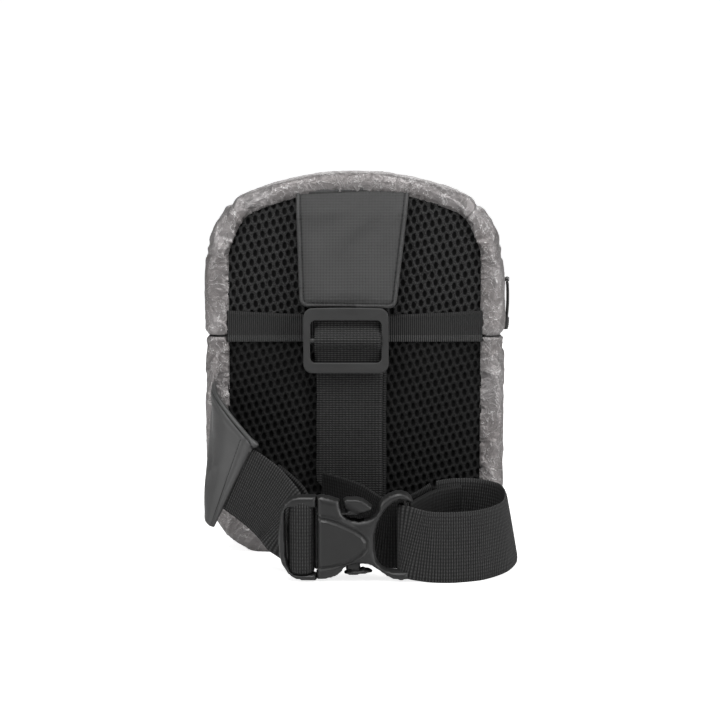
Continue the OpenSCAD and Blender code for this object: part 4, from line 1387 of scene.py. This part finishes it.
# %% Tubes, for the piping and the zip cords
def tube(name, points, radius, body, finish, slot, braid=0.0, step=0.5, sides=14):
    """A round cord with rounded ends; radius is in mm, or a function of the length walked."""
    p, at = route(drawn(points), step * MM)
    at = at / MM
    t = unit(np.gradient(p, axis=0))
    aside = unit(np.cross(t, [0.13, 0.21, 0.97]))
    up = np.cross(t, aside)
    a = np.linspace(0, 2 * math.pi, sides, endpoint=False)
    r = radius(at, at[-1]) if callable(radius) else np.full(len(at), float(radius))
    lay = at[:, None] * 5.2
    r = r[:, None] * (1 + braid * np.sin(lay + a * 2) * np.sin(lay - a * 2))
    to_end = np.minimum(at, at[-1] - at)
    ends = np.sqrt(np.clip(1 - (1 - np.minimum(to_end / 0.8, 1)) ** 2, 0.02, 1))
    r = r * ends[:, None] * MM
    round_it = aside[:, None] * np.cos(a)[None, :, None] + up[:, None] * np.sin(a)[None, :, None]
    co = p[:, None] + r[..., None] * round_it
    rows = len(p)
    faces = grid_faces(rows, sides, wrap_cols=True).tolist()
    faces += [list(range(sides)), list(range((rows - 1) * sides, rows * sides))[::-1]]
    obj = piece(name, co.reshape(-1, 3), faces, body=body, slot=slot, finish=finish)
    tidy_normals(obj)
    return obj


piping_line = wing(np.linspace(0, 1.0, 14), np.ones(14)) + [0.5, 0, 1.2]
piping = tube("wing_piping", np.vstack([piping_line, piping_line[-1] + [1.2, -0.8, -1.6]]),
              lambda at, end: 1.15 + 0.75 * smoothstep(at, end - 6, end - 2), "bag", WING, "grosgrain")
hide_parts("wing_binding")

# The stitch line runs along the wing's end, on its outer face.
hem_v = np.linspace(0.04, 0.93, 30)
hem_u = np.full(30, 0.893)
hem_n = wing_normal(hem_u, hem_v)
hem_n *= np.sign(-hem_n[:, 1:2])
stitches("wing_stitches", drawn(wing(hem_u, hem_v) + hem_n * 1.25), hem_n, "bag", "wing", 3.0, 2.2)

# %% Webbing between the wing and the buckle
LEAN, LESS, LITTLE = [0.384, -0.12, 0.923], [0.3, -0.06, 0.95], [0.16, 0, 0.985]
wing_run = [[-70.2, -33.2, 53.0], [-66.2, -35.0, 50.9], [-57.5, -40.5, 46.2], [-49.2, -46.0, 40.6],
            [-42.5, -52.2, 34.6], [-38.4, -57.0, 28.6], [-36.2, -60.4, 25.6], [-35.2, -64.5, 24.4],
            [-34.6, -67.8, 24.2], [-32.6, -70.0, 24.2], [-28.8, -70.8, 24.2], [-25.0, -70.2, 24.2],
            [-22.7, -67.0, 24.2], [-22.9, -61.4, 24.2], [-28.6, -59.4, 24.4], [-32.4, -56.6, 26.2]]
webbing("wing_strap_run", wing_run, [LEAN] * 4 + [LESS, LITTLE] + [UP] * 9 + [LITTLE],
        seed=15, width=39.5, body="bag", replaced=["wing_strap", "wing_strap_wrap"])
tail_run = [[-32.6, -56.3, 26.4], [-36.5, -50.6, 32.6], [-43.0, -45.0, 38.2], [-50.5, -39.5, 43.2]]
webbing("wing_strap_end", tail_run, [LITTLE, LESS, LEAN, LEAN],
        seed=19, waver=0.2, body="bag", replaced=["wing_strap_tail"], finish=WEBBING_SHADED)

# %% [markdown]
# ## Zips
# Each zip is two woven tapes with a row of separate teeth along each edge, metal end stops, a
# lacquered slider and a cord puller with a moulded grip.

# %% Main zip
TOOTH, PITCH = (2.5, 0.95, 1.5), 1.3
TAPE_OUT, TAPE_IN, CORNER = 0.9, 1.7, 0.3
zip_from = height_at(129.5 * MM)
tape_from = seam_at + 0.5 * MM
for side, y0, y1, teeth_y, body in (("rear", 31.6, 35.4, 34.05, "bag"),
                                    ("front", 36.6, 40.4, 37.95, "flap")):
    profile = [[TAPE_OUT + CORNER, y0], [TAPE_OUT, y0 + CORNER], [TAPE_OUT, y1 - CORNER],
               [TAPE_OUT + CORNER, y1], [TAPE_IN - CORNER, y1], [TAPE_IN, y1 - CORNER],
               [TAPE_IN, y0 + CORNER], [TAPE_IN - CORNER, y0]]
    tape = closed_strip("main_tape_" + side, tape_from, RING_LENGTH - tape_from, profile, 1.5 * MM,
                        body=body, slot="zip_tape", finish=ZIP_TAPE)
    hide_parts("main_zip_tape_" + side)
    first_tooth = zip_from + (0 if side == "rear" else PITCH / 2 * MM)
    s = np.arange(first_tooth, RING_LENGTH - zip_from, PITCH * MM)
    p, n = ring_point(s)
    centre = np.stack([p[:, 0], np.full(len(s), float(back(teeth_y))), p[:, 1]], 1)
    outward = np.stack([n[:, 0], np.zeros(len(s)), n[:, 1]], 1)
    teeth = beads("main_teeth_" + side, centre, np.tile([0, 1.0, 0], (len(s), 1)), outward, TOOTH,
                  body, ZIP_TEETH, "zip_coil")
    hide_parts("main_zip_teeth_" + side)
    print("main zip", side, "teeth", len(s))
soft_copy("main_zip_stops", "main_zip_end_stops", 0.16, 3, "bag", LACQUER)

# %% Pocket zip
def box_edge(x0, x1, z0, z1):
    return np.array([[x0, z0], [x1, z0], [x1, z1], [x0, z1]]) * MM


for side, z0, z1 in (("lower", 95.2, 99.3), ("upper", 100.7, 104.8)):
    tape = pad("pocket_tape_" + side, box_edge(-51.6, 51.6, z0, z1), 1.2 * MM,
               lambda x, z, d: 46.3 + 0.1 * (1 - rim_profile(d, 0.4)),
               lambda x, z, d: 47.1 - 0.1 * (1 - rim_profile(d, 0.4)),
               body="bag", slot="zip_tape", finish=ZIP_TAPE)
    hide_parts("pocket_zip_tape")
    x = np.arange(-48.6 + (0 if side == "lower" else PITCH / 2), 48.8, PITCH)
    z = 98.05 if side == "lower" else 101.95
    centre = drawn(np.stack([x, np.full(len(x), 47.9), np.full(len(x), z)], 1))
    teeth = beads("pocket_teeth_" + side, centre, np.tile([0, 0, 1.0], (len(x), 1)),
                  np.tile([0, 1.0, 0], (len(x), 1)), TOOTH, "bag", ZIP_TEETH, "zip_coil")
    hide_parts("pocket_zip_teeth")
    print("pocket zip", side, "teeth", len(x))
soft_copy("pocket_zip_stops", "pocket_zip_end_stops", 0.16, 3, "bag", LACQUER)

# %% Sliders and pullers
soft_copy("main_zip_slider", "main_slider_body", 0.17, 4, "main_slider", LACQUER)
soft_copy("pocket_zip_slider", "pocket_slider_body", 0.17, 4, "pocket_slider", LACQUER)


def grip_radius(at, end):
    """A barrel with fine rings round it."""
    return 1.55 + 0.35 * np.sin(np.pi * at / end) + 0.12 * np.sin(at * 5.5)


def puller(name, body, replaced, place):
    """place turns (out, sideways, down) in mm from the slider's crown into drawn points."""
    turn = np.radians(np.linspace(0, 360, 25))
    ring = [place(1.2 * math.cos(a), 0, 1.2 * math.sin(a)) for a in turn]
    tube(name + "_eye", ring, 0.36, body, LACQUER, "zip_metal", step=0.2)
    for letter, side in (("a", -1), ("b", 1)):
        line = [place(0.0, 0.5 * side, 1.3), place(0.35, 1.2 * side, 4.5), place(0.5, 1.35 * side, 12),
                place(0.2, 1.2 * side, 19), place(-0.2, 0.95 * side, 24)]
        tube(name + "_cord_" + letter, line, 0.78, body, PULL, "puller", braid=0.16, step=0.25)
    grip = [place(-0.1, 0, 22), place(-0.35, 0, 24.5), place(-0.6, 0, 27.2), place(-0.9, 0, 29.9)]
    held = tube(name + "_grip", grip, grip_radius, body, PULL, "puller", step=0.2, sides=20)
    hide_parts(replaced)
    print(name, "hangs on", body)


puller("main_puller", "main_puller", "main_zip_puller",
       lambda out, aside, down: [89.95 + out, 36 + aside, 157 - down])
puller("pocket_puller", "pocket_puller", "pocket_zip_puller",
       lambda out, aside, down: [45 - aside, 51.95 + out, POCKET_Z - down])

# %% [markdown]
# ## Inside
# The lining, the bound inner seams and the pocket's bag show only when the bag is open.
# They are thin cloth, so each is cut or swept and given a real thickness.

# %% Lining, bindings and pouch
def lining_sheet(name, edge, y, outward, body):
    def depth(x, z, d):
        return y + 0.25 * cloud(np.stack([x, z], 1), 0.02, 61) * smoothstep(d / MM, 0, 8)
    obj = sheet_cut(name, edge, 4 * MM, depth, outward, finish=LINING, slot="lining")
    thicken(obj, 0.45)
    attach(obj, body)
    print(name, "at depth", y, "mm")
    return obj


lining_sheet("lining_back", region(3.0 * MM), 9.6, 1, "bag")
lining_sheet("lining_front", region(3.4 * MM, high=126 * MM), 42.6, -1, "bag")
lining_flap = lining_sheet("lining_of_flap", region(3.4 * MM, low=129 * MM), 42.6, -1, "flap")
lining_side = closed_strip("lining_side", -seam_at + 1 * MM, seam_at - 1 * MM,
                           [[3.1, 9.6], [3.1, 42.8], [3.6, 42.8], [3.6, 9.6]], 3 * MM,
                           body="bag", slot="lining", finish=LINING)
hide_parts("lining_body")
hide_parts("lining_flap")
rear_section = [[3.6, 10.0], [3.6, 12.2], [4.2, 12.4], [6.2, 12.2], [6.4, 11.2], [6.2, 10.0]]
front_section = [[3.8, 40.0], [3.8, 42.0], [6.4, 42.0], [6.6, 41.0], [6.4, 39.8], [4.4, 39.7]]
for side, s0, s1, section in (
        ("rear", 2 * MM, RING_LENGTH - 2 * MM, rear_section),
        ("front", -seam_at + 3 * MM, seam_at - 3 * MM, front_section)):
    binding = closed_strip("inner_binding_" + side, s0, s1, section, 2.5 * MM,
                           body="bag", slot="grosgrain", finish=THREAD)
    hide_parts("seam_binding_" + side)
pouch_corners = ((53, 98, 0), (-53, 98, 90), (-53, 50, 180), (53, 50, 270))
pouch_edge = np.vstack([arc(x, z, 6, a, a + 90, 12) for x, z, a in pouch_corners]) * MM
pouch = pad("pocket_bag", pouch_edge, 2.5 * MM,
            lambda x, z, d: 41 - 1.9 * rim_profile(d, 5) + 0.15 * cloud(np.stack([x, z], 1), 0.015, 71),
            lambda x, z, d: 41 + 1.9 * rim_profile(d, 5), body="bag", slot="lining", finish=LINING)
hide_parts("pocket_pouch")
